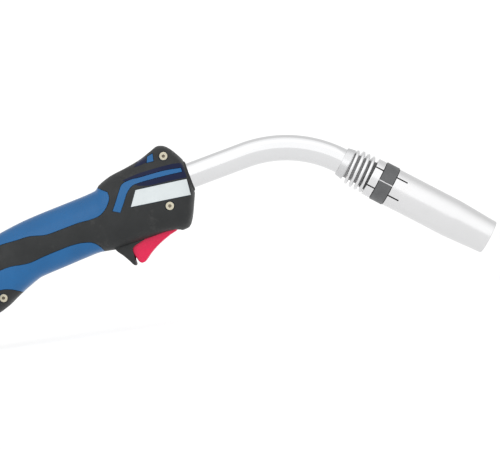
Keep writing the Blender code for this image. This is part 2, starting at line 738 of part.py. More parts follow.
def make_half(side, name, look):
    """A half shell, the overmould on it, and the blank plate let into the overmould."""
    outer = half_body("outer", side, 0.0)
    shell = half_body(f"shell_{name}", side, SKIN + GAP)
    shown = []
    for window in blue_prisms(0.0):
        shown.append(carve(copy_of(outer, "shown"), [window], "INTERSECT"))
    carve(shell, shown, "UNION")
    carve(shell, [cavity(), *shell_holes(side), *fastener_pockets(side)])

    plate = half_body(f"name_plate_{name}", side, PLATE_SUNK)
    carve(plate, [handle_body("behind", SKIN - GAP, rear=-PAST)])
    carve(plate, [prism("plate", drawn(LABEL), -BEYOND, BEYOND)], "INTERSECT")

    skin = outer
    skin.name = f"overmould_{name}"
    half_stop = STOP_WIDTH / 2
    stop = carve(prism("stop", drawn(STOP), -half_stop, half_stop), [other_half(side)])
    carve(skin, [stop], "UNION")
    plate_cut = prism("plate_cut", grown(drawn(LABEL), GAP), -BEYOND, BEYOND)
    carve(skin, [handle_body("under", SKIN, rear=-PAST), plate_cut, *blue_prisms(GAP)])
    carve(skin, [*shell_holes(side), *fastener_pockets(side)])

    look_like(shell, look["blue"])
    look_like(skin, look["black"])
    look_like(plate, look["label"])


def make_handle(look):
    make_half(-1, "right", look)
    make_half(1, "left", look)


# ---- neck ------------------------------------------------------------------------------------------------


def make_neck(look):
    """The chromed tube, what it carries inside, and the seal and collar round it."""
    rear = HEAD_FACE - NECK_IN_HANDLE
    bore = NECK_OD / 2 - NECK_WALL
    sleeve = bore - GAP
    bent_tube("neck_tube", neck_path(rear, NECK_END), NECK_OD / 2, bore, look["chrome"], 20)
    bent_tube("neck_sleeve", neck_path(rear, NECK_END), sleeve, sleeve - SLEEVE_WALL, look["insulator"], 10)
    inner = neck_path(block_front() - CONDUCTOR_IN_BLOCK, CONDUCTOR_END)
    bent_tube("neck_conductor", inner, CONDUCTOR_OD / 2, CONDUCTOR_BORE / 2, look["copper"], 10)
    rear = block_front() - BLOCK_LENGTH - SPIGOT_LENGTH - LINER_STUB
    liner = neck_path(rear, HOLDER_END - TIP_THREAD - LINER_SHORT)
    bent_tube("wire_liner", liner, LINER_OD / 2, LINER_BORE / 2, look["spring"], 8)
    bore = NECK_OD / 2 + GAP
    rim = SEAL_OD / 2
    rear = HEAD_FACE - SEAL_WIDTH
    front = HEAD_FACE + SEAL_LIP
    profile = [
        (rear, bore), (rear, rim), (front - SEAL_CHAMFER, rim), (front, rim - SEAL_CHAMFER), (front, bore),
    ]
    turned("neck_seal", profile, NECK_AXIS, look["rubber"], 20)
    rear = bore + COLLAR_REAR_WALL
    profile = [(0.0, bore), (0.0, rear), (COLLAR_LENGTH, bore + COLLAR_WALL), (COLLAR_LENGTH, bore)]
    turned("neck_collar", profile, NOZZLE_AXIS, look["chrome"], 24)


def make_block(look):
    """The brass block behind the neck: six flats where the neck seats, and a round spigot for the cable."""
    front = block_front()
    rear = front - BLOCK_LENGTH
    block = rod("neck_block", rear, front, hex_corner(BLOCK_FLATS), NECK_AXIS, sides=6)
    middle = front - BLOCK_LENGTH / 2
    spigot = rod("spigot", rear - SPIGOT_LENGTH, middle, SPIGOT_OD / 2, NECK_AXIS, sides=20)
    carve(block, [spigot], "UNION")
    passage = rod("passage", 0.0, front + PAST, LINER_OD / 2 + GAP, NECK_AXIS, sides=16)
    bottom = front - CONDUCTOR_IN_BLOCK - GAP
    socket = rod("socket", bottom, front + PAST, CONDUCTOR_OD / 2 + GAP, NECK_AXIS, sides=16)
    carve(block, [passage, socket])
    look_like(block, look["brass"])


def make_inlet(look):
    """The ring in the rear wall that the cable enters through, held by a flange behind the wall."""
    wall = REAR_WALL + GAP
    bore = INLET_PASSAGE / 2
    profile = [
        (0.0, bore), (0.0, INLET_BORE / 2 - GAP), (wall, INLET_BORE / 2 - GAP), (wall, INLET_FLANGE / 2),
        (INLET_DEPTH, INLET_FLANGE / 2), (INLET_DEPTH, bore),
    ]
    turned("inlet_ring", profile, INLET_AXIS, look["insulator"], 20)


def hex_corner(flats):
    """The radius at the corners of a hexagon."""
    return flats / 2 / math.cos(math.pi / 6)


# ---- nozzle end --------------------------------------------------------------------------------------------


def make_front_end(look):
    """The spring, the seat and the gas and current parts inside the nozzle."""
    coil("nozzle_spring", NOZZLE_AXIS, SPRING_START, SPRING_LENGTH, SPRING_OD, SPRING_WIRE, SPRING_TURNS,
         look["spring"], SPRING_WAIST, SPRING_PHASE)
    start = NECK_END + GAP
    around = CONDUCTOR_OD / 2 + GAP
    within = DIFFUSER_OD / 2 + GAP
    seat = [
        (start, around), (start, SEAT_SHANK / 2), (NOZZLE_REAR, SEAT_SHANK / 2), (NOZZLE_REAR, SEAT_OD / 2),
        (SEAT_END, SEAT_OD / 2), (SEAT_END, within), (CONDUCTOR_END, within), (CONDUCTOR_END, around),
    ]
    turned("nozzle_seat", seat, NOZZLE_AXIS, look["insulator"], 24)
    outer = DIFFUSER_OD / 2
    inner = LINER_OD / 2 + 2 * GAP
    diffuser = tube("gas_diffuser", CONDUCTOR_END + GAP, DIFFUSER_END, outer, inner, NOZZLE_AXIS, sides=16)
    holes = []
    for k in range(GAS_HOLES):
        turn = Matrix.Rotation(2 * math.pi * k / GAS_HOLES, 4, "Z")
        way = NOZZLE_AXIS @ turn @ axis_at((0.0, 0.0, (SEAT_END + DIFFUSER_END) / 2), (1.0, 0.0, 0.0))
        holes.append(rod("gas_hole", LINER_OD / 2, DIFFUSER_OD, GAS_HOLE / 2, way, sides=8))
    look_like(carve(diffuser, holes), look["brass"])
    bore = TIP_SHANK / 2 + GAP
    tube("tip_holder", DIFFUSER_END + GAP, HOLDER_END, HOLDER_OD / 2, bore, NOZZLE_AXIS, look["brass"], 16)
    tip = [
        (HOLDER_END - TIP_THREAD, TIP_BORE / 2), (HOLDER_END - TIP_THREAD, TIP_SHANK / 2),
        (HOLDER_END + GAP, TIP_SHANK / 2), (HOLDER_END + GAP, TIP_OD / 2),
        (TIP_END - TIP_OD, TIP_OD / 2), (TIP_END, TIP_NOSE / 2), (TIP_END, TIP_BORE / 2),
    ]
    turned("contact_tip", tip, NOZZLE_AXIS, look["copper"], 20)


def make_nozzle(look):
    """The slotted nozzle and the split band in its groove."""
    body = NOZZLE_OD / 2
    bore = NOZZLE_BORE / 2
    groove = BAND_OD / 2 - BAND_THICKNESS - GAP
    first = NOZZLE_REAR + BAND_OFFSET
    last = first + BAND_WIDTH
    shoulder = NOZZLE_FRONT - NOZZLE_TAPER
    profile = [
        (NOZZLE_REAR, bore), (NOZZLE_REAR, body - RIM_CHAMFER), (NOZZLE_REAR + RIM_CHAMFER, body),
        (first - GAP, body), (first - GAP, groove), (last + GAP, groove), (last + GAP, body),
        (shoulder, body), (NOZZLE_FRONT, MOUTH_OD / 2), (NOZZLE_FRONT, MOUTH_BORE / 2), (shoulder, bore),
    ]
    nozzle = turned("nozzle", profile, NOZZLE_AXIS, look["nozzle"], 32)
    slots = []
    for k in range(SLOT_COUNT):
        turn = math.radians(SLOT_ANGLE) + 2 * math.pi * k / SLOT_COUNT
        way = NOZZLE_AXIS @ Matrix.Rotation(turn, 4, "Z")
        reach = (NOZZLE_REAR - PAST, NOZZLE_REAR + SLOT_LENGTH)
        slots.append(bar(way, (bore - PAST, body + PAST), SLOT_WIDTH / 2, reach))
    look_like(carve(nozzle, slots), look["nozzle"])
    outer = BAND_OD / 2
    band = tube("nozzle_band", first, last, outer, outer - BAND_THICKNESS, NOZZLE_AXIS, look["band"], 32)
    split = bar(NOZZLE_AXIS, (bore, outer + PAST), BAND_SPLIT / 2, (first - PAST, last + PAST))
    look_like(carve(band, [split]), look["band"])


def bar(axis, reach, half_width, length):
    """A straight bar along an axis, standing off it to one side. reach and length are pairs of distances."""
    bm = bmesh.new()
    bmesh.ops.create_cube(bm, size=1.0)
    size = Matrix.Diagonal((reach[1] - reach[0], 2 * half_width, length[1] - length[0], 1.0))
    place = Matrix.Translation(((reach[0] + reach[1]) / 2, 0.0, (length[0] + length[1]) / 2))
    bm.transform(axis @ place @ size)
    return finish("bar", bm)


# ---- trigger and switch ------------------------------------------------------------------------------------


def make_trigger(look):
    """The trigger with its pin hole and the pocket of its return spring."""
    half = TRIGGER_WIDTH / 2
    trigger = prism("trigger", drawn(TRIGGER), -half, half, look["red"])
    hole = rod("hole", -BEYOND, BEYOND, PIVOT_OD / 2 + RUN, PIVOT_AXIS, sides=16)
    pocket = rod("pocket", RETURN_POCKET, BEYOND, RETURN_OD / 2 + RUN, RETURN_AXIS, sides=16)
    look_like(carve(trigger, [hole, pocket]), look["red"])
    rod("trigger_pin", -PIVOT_LENGTH / 2, PIVOT_LENGTH / 2, PIVOT_OD / 2, PIVOT_AXIS, look["spring"], 16)
    coil("trigger_spring", RETURN_AXIS, RETURN_POCKET + GAP, RETURN_SEAT - RETURN_POCKET - 2 * GAP, RETURN_OD,
         RETURN_WIRE, RETURN_TURNS, look["spring"], steps=8)


def switch_pin_axes():
    """The axes of the two pins that hold the switch's case."""
    middle = along(SWITCH_REAR) + SWITCH_SIZE[0] / 2
    z = SWITCH_FLOOR + SWITCH_PIN_RISE
    return [across(middle + side * SWITCH_PIN_SPACING / 2, z) for side in (-1, 1)]


def make_switch(look):
    """A snap switch between the half shells: case, lever, lever pin, plunger, terminals and mounting pins."""
    length, width, height = SWITCH_SIZE
    rear = along(SWITCH_REAR)
    hinge = along(LEVER_HINGE)
    half = LEVER_WIDTH / 2 + GAP
    top = SWITCH_FLOOR + height
    case = box("switch_case", (rear, -width / 2, SWITCH_FLOOR), (rear + length, width / 2, top))
    lug = LEVER_EYE / 2
    low = (hinge - lug, -width / 2, LEVER_Z - lug)
    carve(case, [box("lugs", low, (hinge + lug, width / 2, SWITCH_FLOOR + lug / 2))], "UNION")
    low = (hinge - 2 * lug, -half, LEVER_Z - 2 * lug)
    cuts = [
        box("lever_room", low, (hinge + 2 * lug, half, LEVER_Z + lug + GAP)),
        rod("lever_hole", -BEYOND, BEYOND, LEVER_PIN / 2 + GAP, LEVER_AXIS, sides=12),
    ]
    for k, axis in enumerate(switch_pin_axes()):
        cuts.append(rod("pin_hole", -BEYOND, BEYOND, SWITCH_PIN / 2 + GAP, axis, sides=12))
        reach = SWITCH_PIN_LENGTH / 2
        rod(f"switch_pin_{k + 1}", -reach, reach, SWITCH_PIN / 2, axis, look["spring"], 12)
    cuts += make_terminals(look)
    cuts.append(make_plunger(look))
    look_like(carve(case, cuts), look["switch"])
    rod("lever_pin", -width / 2, width / 2, LEVER_PIN / 2, LEVER_AXIS, look["spring"], 12)
    make_lever(look)


def make_terminals(look):
    """Two blades in the case's rear end. Returns the slots that they sit in."""
    length, width, thick = TERMINAL_SIZE
    rear = along(SWITCH_REAR)
    front = rear + TERMINAL_DEPTH
    slots = []
    for k, share in enumerate(TERMINAL_HEIGHTS):
        z = SWITCH_FLOOR + SWITCH_SIZE[2] * share
        low = Vector((front - length, -width / 2, z - thick / 2))
        high = Vector((front, width / 2, z + thick / 2))
        box(f"switch_terminal_{k + 1}", low, high, look["brass"])
        clear = Vector((GAP, GAP, GAP))
        slots.append(box("slot", low - clear, high + clear))
    return slots


def make_plunger(look):
    """The button under the lever. Returns the hole that it slides in."""
    x = along(LEVER_HINGE) + PLUNGER_LEVER
    axis = axis_at((x, 0.0, 0.0), (0.0, 0.0, 1.0))
    under = lever_z(x) + lever_drop() + GAP
    top = SWITCH_FLOOR + PLUNGER_LENGTH
    rod("switch_plunger", under, top, PLUNGER_OD / 2, axis, look["red"], 12)
    travel = PLUNGER_LEVER * math.radians(TRIGGER_ANGLE) * NUB_ARM / LEVER_REACH
    return rod("plunger_hole", LEVER_Z, top + travel + GAP, PLUNGER_OD / 2 + GAP, axis, sides=12)


def lever_z(x):
    """Height of the lever's middle line at an X."""
    return LEVER_Z - (x - along(LEVER_HINGE)) * LEVER_FALL


def lever_drop():
    """Half the lever's thickness, measured upright."""
    return LEVER_THICKNESS / 2 * math.hypot(1.0, LEVER_FALL)


def make_lever(look):
    """A flat strip with a rolled eye at its pin."""
    half = LEVER_WIDTH / 2
    lever = rod("switch_lever", -half, half, LEVER_EYE / 2, LEVER_AXIS, sides=12)
    near = along(LEVER_HINGE) + LEVER_PIN / 2 + GAP
    end = along(NUB) + LEVER_PAST
    drop = lever_drop()
    outline = [
        (near, lever_z(near) - drop), (end, lever_z(end) - drop),
        (end, lever_z(end) + drop), (near, lever_z(near) + drop),
    ]
    carve(lever, [prism("strip", outline, -half, half)], "UNION")
    carve(lever, [rod("eye", -BEYOND, BEYOND, LEVER_PIN / 2 + GAP, LEVER_AXIS, sides=12)])
    look_like(lever, look["spring"])


# ---- fasteners ---------------------------------------------------------------------------------------------


def make_fasteners(look):
    """A socket-headed screw from the right and a nut on the left, for each of the four bosses."""
    for name, (x, z) in SCREWS.items():
        face = face_at(x, z)
        axis = across(along(x), z)
        seat = screw_floor(face) - GAP
        far = nut_floor(face) + GAP
        top = seat - SCREW_HEAD_HEIGHT
        end = far + NUT_HEIGHT - GAP
        profile = [
            (top, 0.0), (top, SCREW_HEAD / 2), (seat, SCREW_HEAD / 2), (seat, SCREW_OD / 2),
            (end, SCREW_OD / 2), (end, 0.0),
        ]
        screw = turned(f"screw_{name}", profile, axis, look["screw"], 12)
        socket = rod("socket", -BEYOND, seat - SCREW_HEAD_HEIGHT / 2, hex_corner(SOCKET_FLATS), axis, sides=6)
        look_like(carve(screw, [socket]), look["screw"])
        nut = rod(f"nut_{name}", far, far + NUT_HEIGHT, hex_corner(NUT_FLATS), axis, sides=6)
        carve(nut, [rod("thread", -BEYOND, BEYOND, SCREW_OD / 2 + GAP, axis, sides=12)])
        look_like(nut, look["screw"])


# ---- placing -----------------------------------------------------------------------------------------------


def placing():
    """Turns the drawn torch until its rear collar and its nozzle's lip stand on Z = 0, and centres it."""
    top_x, top_z, low_x, low_z = SECTIONS[0][:4]
    foot = Vector((along(low_x), 0.0, low_z))
    rear = Vector((along(top_x), 0.0, top_z))
    lip = NOZZLE_AXIS @ Vector((0.0, MOUTH_OD / 2, NOZZLE_FRONT))
    nose = NOZZLE_AXIS @ Vector((0.0, -MOUTH_OD / 2, NOZZLE_FRONT))
    tilt = math.atan2(foot.z - lip.z, lip.x - foot.x)
    turn = Matrix.Rotation(-tilt, 4, "Y")
    middle = ((turn @ rear).x + (turn @ nose).x) / 2
    return Matrix.Translation((-middle * MM, 0.0, -(turn @ foot).z * MM)) @ turn


def set_origin(body, point):
    """Moves an object's origin to a drawn point and leaves its shape where it is."""
    here = Vector(point) * MM
    body.data.transform(Matrix.Translation(-here))
    body.location = here


def place_all():
    """Puts the moving pieces' origins on their axes, and hangs everything on one placed empty."""
    hinge = (along(LEVER_HINGE), 0.0, LEVER_Z)
    pivot = (along(PIVOT[0]), 0.0, PIVOT[1])
    origins = {"trigger": pivot, "switch_lever": hinge, "nozzle": BEND_END, "nozzle_band": BEND_END}
    torch = bpy.data.objects.new("torch", None)
    bpy.context.scene.collection.objects.link(torch)
    torch.matrix_world = placing()
    for body in list(bpy.context.scene.objects):
        if body is torch:
            continue
        if body.name in origins:
            set_origin(body, origins[body.name])
        body.parent = torch
        if body.type == "MESH":
            body.data.shade_smooth()
            body.data.set_sharp_from_angle(angle=math.radians(SMOOTH_ANGLE))


def main():
    for old in list(bpy.data.objects):
        bpy.data.objects.remove(old)
    look = make_materials()
    make_handle(look)
    make_neck(look)
    make_block(look)
    make_inlet(look)
    make_front_end(look)
    make_nozzle(look)
    make_trigger(look)
    make_switch(look)
    make_fasteners(look)
    place_all()


main()
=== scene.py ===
"""Looks of a MIG welding torch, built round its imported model.

The pieces are drawn as the solids are, in millimetres in the handle's own frame: X runs forward along the
neck's axis, Y to the torch's left and Z up, with X = 0 at the handle's rear end and Z = 0 on the cable
inlet's axis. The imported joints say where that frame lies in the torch's own.
"""

import json
import math

import bmesh
import bpy
from mathutils import Matrix, Vector


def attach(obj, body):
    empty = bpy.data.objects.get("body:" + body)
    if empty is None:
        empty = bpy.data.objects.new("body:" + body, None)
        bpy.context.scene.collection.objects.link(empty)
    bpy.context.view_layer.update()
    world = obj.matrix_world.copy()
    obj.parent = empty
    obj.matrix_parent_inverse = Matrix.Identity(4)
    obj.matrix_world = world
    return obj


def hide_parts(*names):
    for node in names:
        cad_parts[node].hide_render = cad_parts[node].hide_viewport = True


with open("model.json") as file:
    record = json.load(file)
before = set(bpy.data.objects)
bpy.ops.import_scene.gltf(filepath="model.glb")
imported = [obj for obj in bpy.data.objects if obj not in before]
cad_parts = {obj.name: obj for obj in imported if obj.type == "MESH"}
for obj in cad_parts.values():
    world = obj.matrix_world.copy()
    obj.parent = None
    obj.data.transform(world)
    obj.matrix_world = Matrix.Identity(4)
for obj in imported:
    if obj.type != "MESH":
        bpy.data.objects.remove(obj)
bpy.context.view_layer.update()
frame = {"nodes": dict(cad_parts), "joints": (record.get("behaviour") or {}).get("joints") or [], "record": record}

MM = 0.001

# ---- sizes shared with the solids, in millimetres -----------------------------------------------------
GAP = 0.3
NECK_RISE = 19.5
SKIN = 1.3
WALL = 3.2
PLATE_SUNK = 0.2
PARTING = 0.3
REAR_WALL = 4.0
INLET_BORE = 20.0
INLET_FLANGE = 21.6
INLET_PASSAGE = 14.0
INLET_DEPTH = 8.0
SEAL_OD = 20.0
SEAL_WIDTH = 3.2
SEAL_LIP = 1.0
SEAL_CHAMFER = 0.6
NECK_OD = 16.5
NECK_WALL = 1.5
NECK_REACH = 37.8
NECK_IN_HANDLE = 47.0
BEND_RADIUS = 76.0
BEND_ANGLE = 48.0
COLLAR_LENGTH = 5.0
COLLAR_OD = 20.6
COLLAR_REAR_OD = 18.6
SPRING_WIRE = 2.2
SPRING_OD = 24.6
SPRING_WAIST = 22.4
SPRING_LENGTH = 15.0
SPRING_TURNS = 3.6
SPRING_PHASE = -108.0
NOZZLE_LENGTH = 84.6
NOZZLE_OD = 25.0
NOZZLE_BORE = 20.6
NOZZLE_TAPER = 26.0
MOUTH_OD = 22.0
MOUTH_BORE = 17.0
SLOT_COUNT = 6
SLOT_WIDTH = 1.0
SLOT_LENGTH = 22.5
SLOT_ANGLE = 30.0
BAND_WIDTH = 8.8
BAND_OFFSET = 5.8
BAND_OD = 25.8
BAND_THICKNESS = 0.9
BAND_SPLIT = 0.7
TRIGGER_WIDTH = 13.0
PIVOT_OD = 3.0
PIVOT_LENGTH = 24.0
SCREW_OD = 3.0
SCREW_HEAD = 5.6
SCREW_HEAD_HEIGHT = 2.2
SOCKET_FLATS = 2.0
SOCKET_DEPTH = 1.9
SHADE_DISC_DEPTH = 1.1  # painted shade: a dark disc this thick at the socket's floor stands in for the shade inside the socket
SHADE_DISC_GAP = 0.05
NUT_FLATS = 5.5
NUT_HEIGHT = 2.4
SUNK = 0.5
BOSS_RADIUS = 4.22
STOP_WIDTH = 16.6
SLOT = (137.2, 170.8)
SLOT_ROOF = -3.0
STOP_POCKET = (135.9, -18.5)
SLOT_CLEARANCE = 0.5
SLEEVE = 0.2  # insulating film round the neck, inside the spring
SLEEVE_PAST = 0.28  # its end past the neck's
FILM = 0.03
TONGUE = 0.2  # thickness of the rib in the slit between the halves
BEYOND = 60.0
PAST = 1.0

# Each handle section: top x, z, bottom x, z, half width, exponent of its superellipse.
SECTIONS = [
    (0.0, 14.5, 0.0, -14.5, 14.5, 2.0),
    (21.0, 18.4, 20.0, -17.4, 15.8, 2.3),
    (34.0, 21.4, 32.0, -19.8, 16.3, 2.4),
    (46.0, 24.2, 42.0, -19.8, 16.5, 2.4),
    (56.0, 26.4, 50.5, -17.8, 16.4, 2.4),
    (65.0, 28.1, 59.5, -13.9, 16.3, 2.4),
    (73.5, 29.2, 68.5, -10.3, 16.2, 2.4),
    (82.0, 29.9, 78.0, -7.5, 16.2, 2.4),
    (94.0, 30.4, 91.0, -6.9, 16.2, 2.4),
    (118.0, 30.9, 116.0, -6.0, 16.5, 2.6),
    (128.3, 31.6, 124.0, -7.2, 17.0, 2.8),
    (131.6, 33.9, 129.0, -8.2, 17.6, 3.0),
    (141.5, 37.1, 138.0, -8.6, 18.0, 3.2),
    (152.0, 38.4, 149.0, -8.7, 18.0, 3.3),
    (161.5, 40.1, 159.0, -8.8, 18.0, 3.3),
    (170.0, 42.8, 167.0, -9.6, 18.0, 3.3),
    (174.8, 44.3, 172.0, -11.3, 17.9, 3.2),
    (178.6, 43.2, 176.0, -11.0, 17.6, 3.1),
    (182.0, 39.9, 180.0, -6.4, 16.9, 3.0),
    (185.2, 34.6, 184.0, 1.6, 15.4, 2.8),
    (187.0, 31.0, 187.0, 8.0, 12.6, 2.5),
]
HEAD_FACE = SECTIONS[-1][0]

# Side-view outlines, in X and Z.
BLUE_TOP = [
    (11.0, BEYOND), (11.5, 16.8), (20.0, 16.3), (30.0, 17.0), (40.0, 18.2), (50.0, 19.4), (59.0, 20.2),
    (72.6, 19.4), (80.0, 18.9), (83.0, 18.2), (90.0, 16.2), (102.0, 15.9), (112.0, 15.9), (122.0, 15.1),
    (126.1, 15.4), (129.6, 16.9), (133.1, 19.7), (135.9, 23.8), (136.1, 27.4), (132.0, 31.1), (130.2, 33.4),
    (130.0, BEYOND),
]
BLUE_BELLY = [
    (120.9, -BEYOND), (120.7, -6.3), (120.1, -4.0), (116.5, 0.6), (110.5, 3.0), (104.0, 3.9), (93.9, 3.9),
    (83.6, 3.5), (76.0, 2.9), (72.0, 3.2), (62.0, 5.0), (53.5, 4.8), (42.0, 3.8), (32.0, 2.3), (25.5, 0.9),
    (24.0, -0.8), (25.5, -2.4), (30.0, -3.8), (40.0, -5.0), (49.5, -6.0), (55.8, -7.4), (61.0, -10.4),
    (64.5, -14.5), (66.0, -BEYOND),
]
BLUE_STRIPE = [
    (135.2, 15.1), (139.5, 20.4), (143.5, 25.6), (146.4, 28.7), (152.0, 29.6), (158.1, 28.9), (165.0, 28.4),
    (174.2, 27.5), (184.6, 25.5), (184.4, 23.1), (175.2, 24.3), (163.9, 25.5), (157.0, 26.0), (152.3, 25.8),
    (148.1, 23.2), (143.6, 17.8), (139.3, 12.6),
]
BLUE_WINDOW = [(165.7, 36.1), (167.1, 39.8), (171.0, 40.4), (170.0, 35.6)]
# Painted shade: darker blue fields for the blue stripe's lower flank and a facet left of the window, where the
# shell lies in shade.
SHADED_FLANK_FIELD = [
    (147.5, 31.0), (157.7, 31.6), (171.3, 30.8), (180.5, 29.8), (186.0, 28.5), (186.0, 18.8), (173.0, 20.6),
    (162.0, 22.1), (156.0, 24.2),
]
SHADED_FACET_FIELD = [(156.9, 36.3), (161.1, 39.6), (166.1, 40.4), (165.4, 36.3), (159.7, 36.1)]
LABEL = [(153.2, 22.4), (185.5, 17.8), (184.5, 7.6), (146.8, 13.5)]
STOP = [
    (126.5, -5.0), (128.6, -9.8), (131.0, -13.2), (133.6, -17.8), (135.4, -21.2), (136.2, -21.8),
    (136.7, -21.0), (136.8, -18.6), (137.3, -16.5), (137.7, -14.5), (137.9, -11.6), (140.2, -9.9),
    (142.4, -9.4), (147.0, -8.4), (147.0, -5.0),
]
PIVOT = Vector((164.5, 0.0, -3.2))
TRIGGER = [
    (170.0, -7.6), (168.6, -9.6), (163.1, -11.2), (155.1, -14.1), (148.3, -17.6), (144.6, -20.2),
    (142.2, -21.6), (140.2, -21.8), (139.2, -20.6), (138.2, -17.6), (137.4, -15.0), (137.4, -6.0),
    (143.4, -4.9), (143.9, -3.0), (146.1, -3.0), (146.8, -4.5), (158.0, -3.6), (161.6, -0.6),
    (166.8, -0.6), (169.6, -4.0),
]
SCREWS = {"top": (176.8, 36.4), "front": (169.8, 5.6), "heel": (51.0, -11.7), "rear": (29.0, 10.4)}

# ---- how fine the surfaces are ------------------------------------------------------------------------
# Which share of the handle's sections is used, as one in so many, and the points round each.
FINEST = (1, 96)
FINE = (2, 48)
COARSE = (3, 32)
RING_STEP = 1.5
OUTLINE_STEP = 1.2
OUTLINE_CORNER = 50.0  # degrees: a sharper turn stays a corner
SMOOTH_ANGLE = 32.0
BEND_STEPS = 48
TURN_STEPS = 40
NECK_SIDES = 80
WIRE_SIDES = 16
NOZZLE_SIDES = 144
BOLT_SIDES = 48

# ---- how far the edges are rounded, in millimetres ----------------------------------------------------
COLLAR_ROUND = 0.4
SEAL_ROUND = 0.5
NOZZLE_ROUND = 0.6
BAND_ROUND = 0.25
TRIGGER_ROUND = 1.1
HEAD_ROUND = 0.45
RING_ROUND = 0.5
RUN_SHARE = 0.45  # the most that a rounded corner takes of the run beside it
NEAR_AXIS = 0.01
# The cone that rounds a nut's corners: its radius below, how high it starts, and its radius at the top.
NUT_DOME = 4.0
NUT_DOME_RISE = 1.6
NUT_TOP_RADIUS = 2.65

# ---- looks --------------------------------------------------------------------------------------------
# Each look: colour, lowest and highest roughness, metal, the mottle's scale and how far its colour strays,
# and the grain's scale and depth in millimetres.
LOOKS = {
    "blue_plastic": ((0.011, 0.109, 0.290), (0.26, 0.38), 0.0, (45.0, 0.07), (2600.0, 0.012)),
    "black_overmould": ((0.0147, 0.0161, 0.0166), (0.46, 0.62), 0.0, (70.0, 0.16), (1900.0, 0.035)),
    # painted shade: a darker copy of the blue plastic, for the head's shaded flank and facet
    "painted_shade_blue": ((0.006, 0.010, 0.040), (0.2, 0.32), 0.0, (60.0, 0.12), (2400.0, 0.012)),
    "red_trigger": ((0.68, 0.0037, 0.064), (0.24, 0.34), 0.0, (90.0, 0.06), (2600.0, 0.010)),
    "label_white": ((0.61, 0.655, 0.665), (0.28, 0.42), 0.0, (120.0, 0.03), (3000.0, 0.008)),
    "bright_chrome": ((0.61, 0.613, 0.62), (0.25, 0.4), 1.0, (35.0, 0.015), (900.0, 0.003)),
    "neck_chrome": ((0.72, 0.723, 0.73), (0.05, 0.12), 1.0, (28.0, 0.015), (700.0, 0.004)),
    "nozzle_nickel": ((0.72, 0.72, 0.725), (0.16, 0.27), 1.0, (50.0, 0.02), (2600.0, 0.012)),
    "spring_steel": ((0.74, 0.74, 0.745), (0.16, 0.26), 1.0, (160.0, 0.05), (3000.0, 0.006)),
    "dark_band": ((0.11, 0.112, 0.115), (0.32, 0.5), 0.35, (140.0, 0.14), (2600.0, 0.018)),
    "brass": ((0.76, 0.58, 0.30), (0.18, 0.3), 1.0, (80.0, 0.05), (2600.0, 0.01)),
    "copper": ((0.86, 0.47, 0.33), (0.2, 0.34), 1.0, (70.0, 0.07), (2600.0, 0.01)),
    "plated_screw": ((0.51, 0.475, 0.37), (0.24, 0.38), 1.0, (300.0, 0.08), (3200.0, 0.01)),
    # painted shade: a dark matt look for the disc that darkens each screw's socket
    "painted_socket_shade": ((0.23, 0.19, 0.14), (0.6, 0.75), 0.0, (300.0, 0.15), (2000.0, 0.03)),
    "insulator": ((0.12, 0.12, 0.122), (0.4, 0.55), 0.0, (90.0, 0.1), (2400.0, 0.02)),
    "sleeving": ((0.34, 0.34, 0.345), (0.4, 0.55), 0.0, (90.0, 0.06), (2400.0, 0.01)),
    "seal_rubber": ((0.018, 0.018, 0.019), (0.6, 0.75), 0.0, (90.0, 0.15), (2000.0, 0.03)),
    "switch_case": ((0.04, 0.04, 0.044), (0.38, 0.5), 0.0, (120.0, 0.1), (2600.0, 0.015)),
}
SPECULAR = {"blue_plastic": 0.3, "black_overmould": 0.35, "painted_shade_blue": 0.15, "red_trigger": 0.35}
DRAWN = (1.0, 1.0, 0.04)  # long streaks along a piece's Z
TURNED = (0.02, 0.02, 1.0)  # rings round it
STRETCH = {"neck_chrome": DRAWN, "nozzle_nickel": TURNED, "brass": TURNED, "copper": TURNED}
# Each look's scuffs: colour, scale and how much they cover it.
SCUFFS = {
    "black_overmould": ((0.075, 0.074, 0.072), 55.0, 0.5),
    "nozzle_nickel": ((0.72, 0.70, 0.67), 60.0, 0.35),
}
# Each noise's detail and roughness.
MOTTLE_NOISE = (5.0, 0.6)
SMEAR_NOISE = (3.0, 0.55)
GRAIN_NOISE = (2.0, 0.5)
SCUFF_NOISE = (8.0, 0.75)
NOISE_SPAN = (0.3, 0.7)  # where most of a noise's values lie
SCUFF_SPAN = (0.56, 0.72)
SMEAR_SCALE = 2.3  # how much finer the gloss varies than the colour
GRAIN_STRENGTH = 0.6

# ---- light, as brightness where 1 shows as white ------------------------------------------------------
STUDIO_LIGHT = 1.36
WALL_LIGHT = 0.86
WALL_SPAN = (-0.75, 0.45)  # how far a ray leans to +Y while the light falls off to the grey wall
EDGE_LIGHT = 1.15  # the wall's far end, which only a grazing reflection reaches
EDGE_SPAN = (0.72, 0.95)
SOFT_LIGHT = 0.95  # what matt surfaces get, and how it leans: most from the front, least from above
SOFT_LEAN = (0.0, -0.6, -0.3)
BACKDROP = 1.1
WHITE = (1.0, 1.0, 1.0, 1.0)
FLOOR_GLOW = 0.74
FLOOR_GREY = (0.35, 0.35, 0.35, 1.0)
FLOOR_ROUGHNESS = 0.9
FLOOR_SPECULAR = 0.1
FLOOR_DROP = 18.0  # millimetres: the torch floats as in the photograph, and the pulled nozzle clears it
FLOOR_RADIUS = 3.0  # metres

# ---- lamps and camera, in metres and degrees ----------------------------------------------------------
# Each lamp: its place, its two sides and its power in watts.
LAMPS = {
    "overhead": ((0.0, -0.25, 1.1), (1.6, 1.0), 1.0),
    "front": ((-0.5, -1.3, 0.7), (0.9, 0.9), 1.5),
}
LIT_POINT = (0.0, 0.0, 0.05)
CAMERA_PLACE = (0.0302, -1.2, 0.0378)
CAMERA_ROLL = 8.0
CAMERA_LENS = 136.0

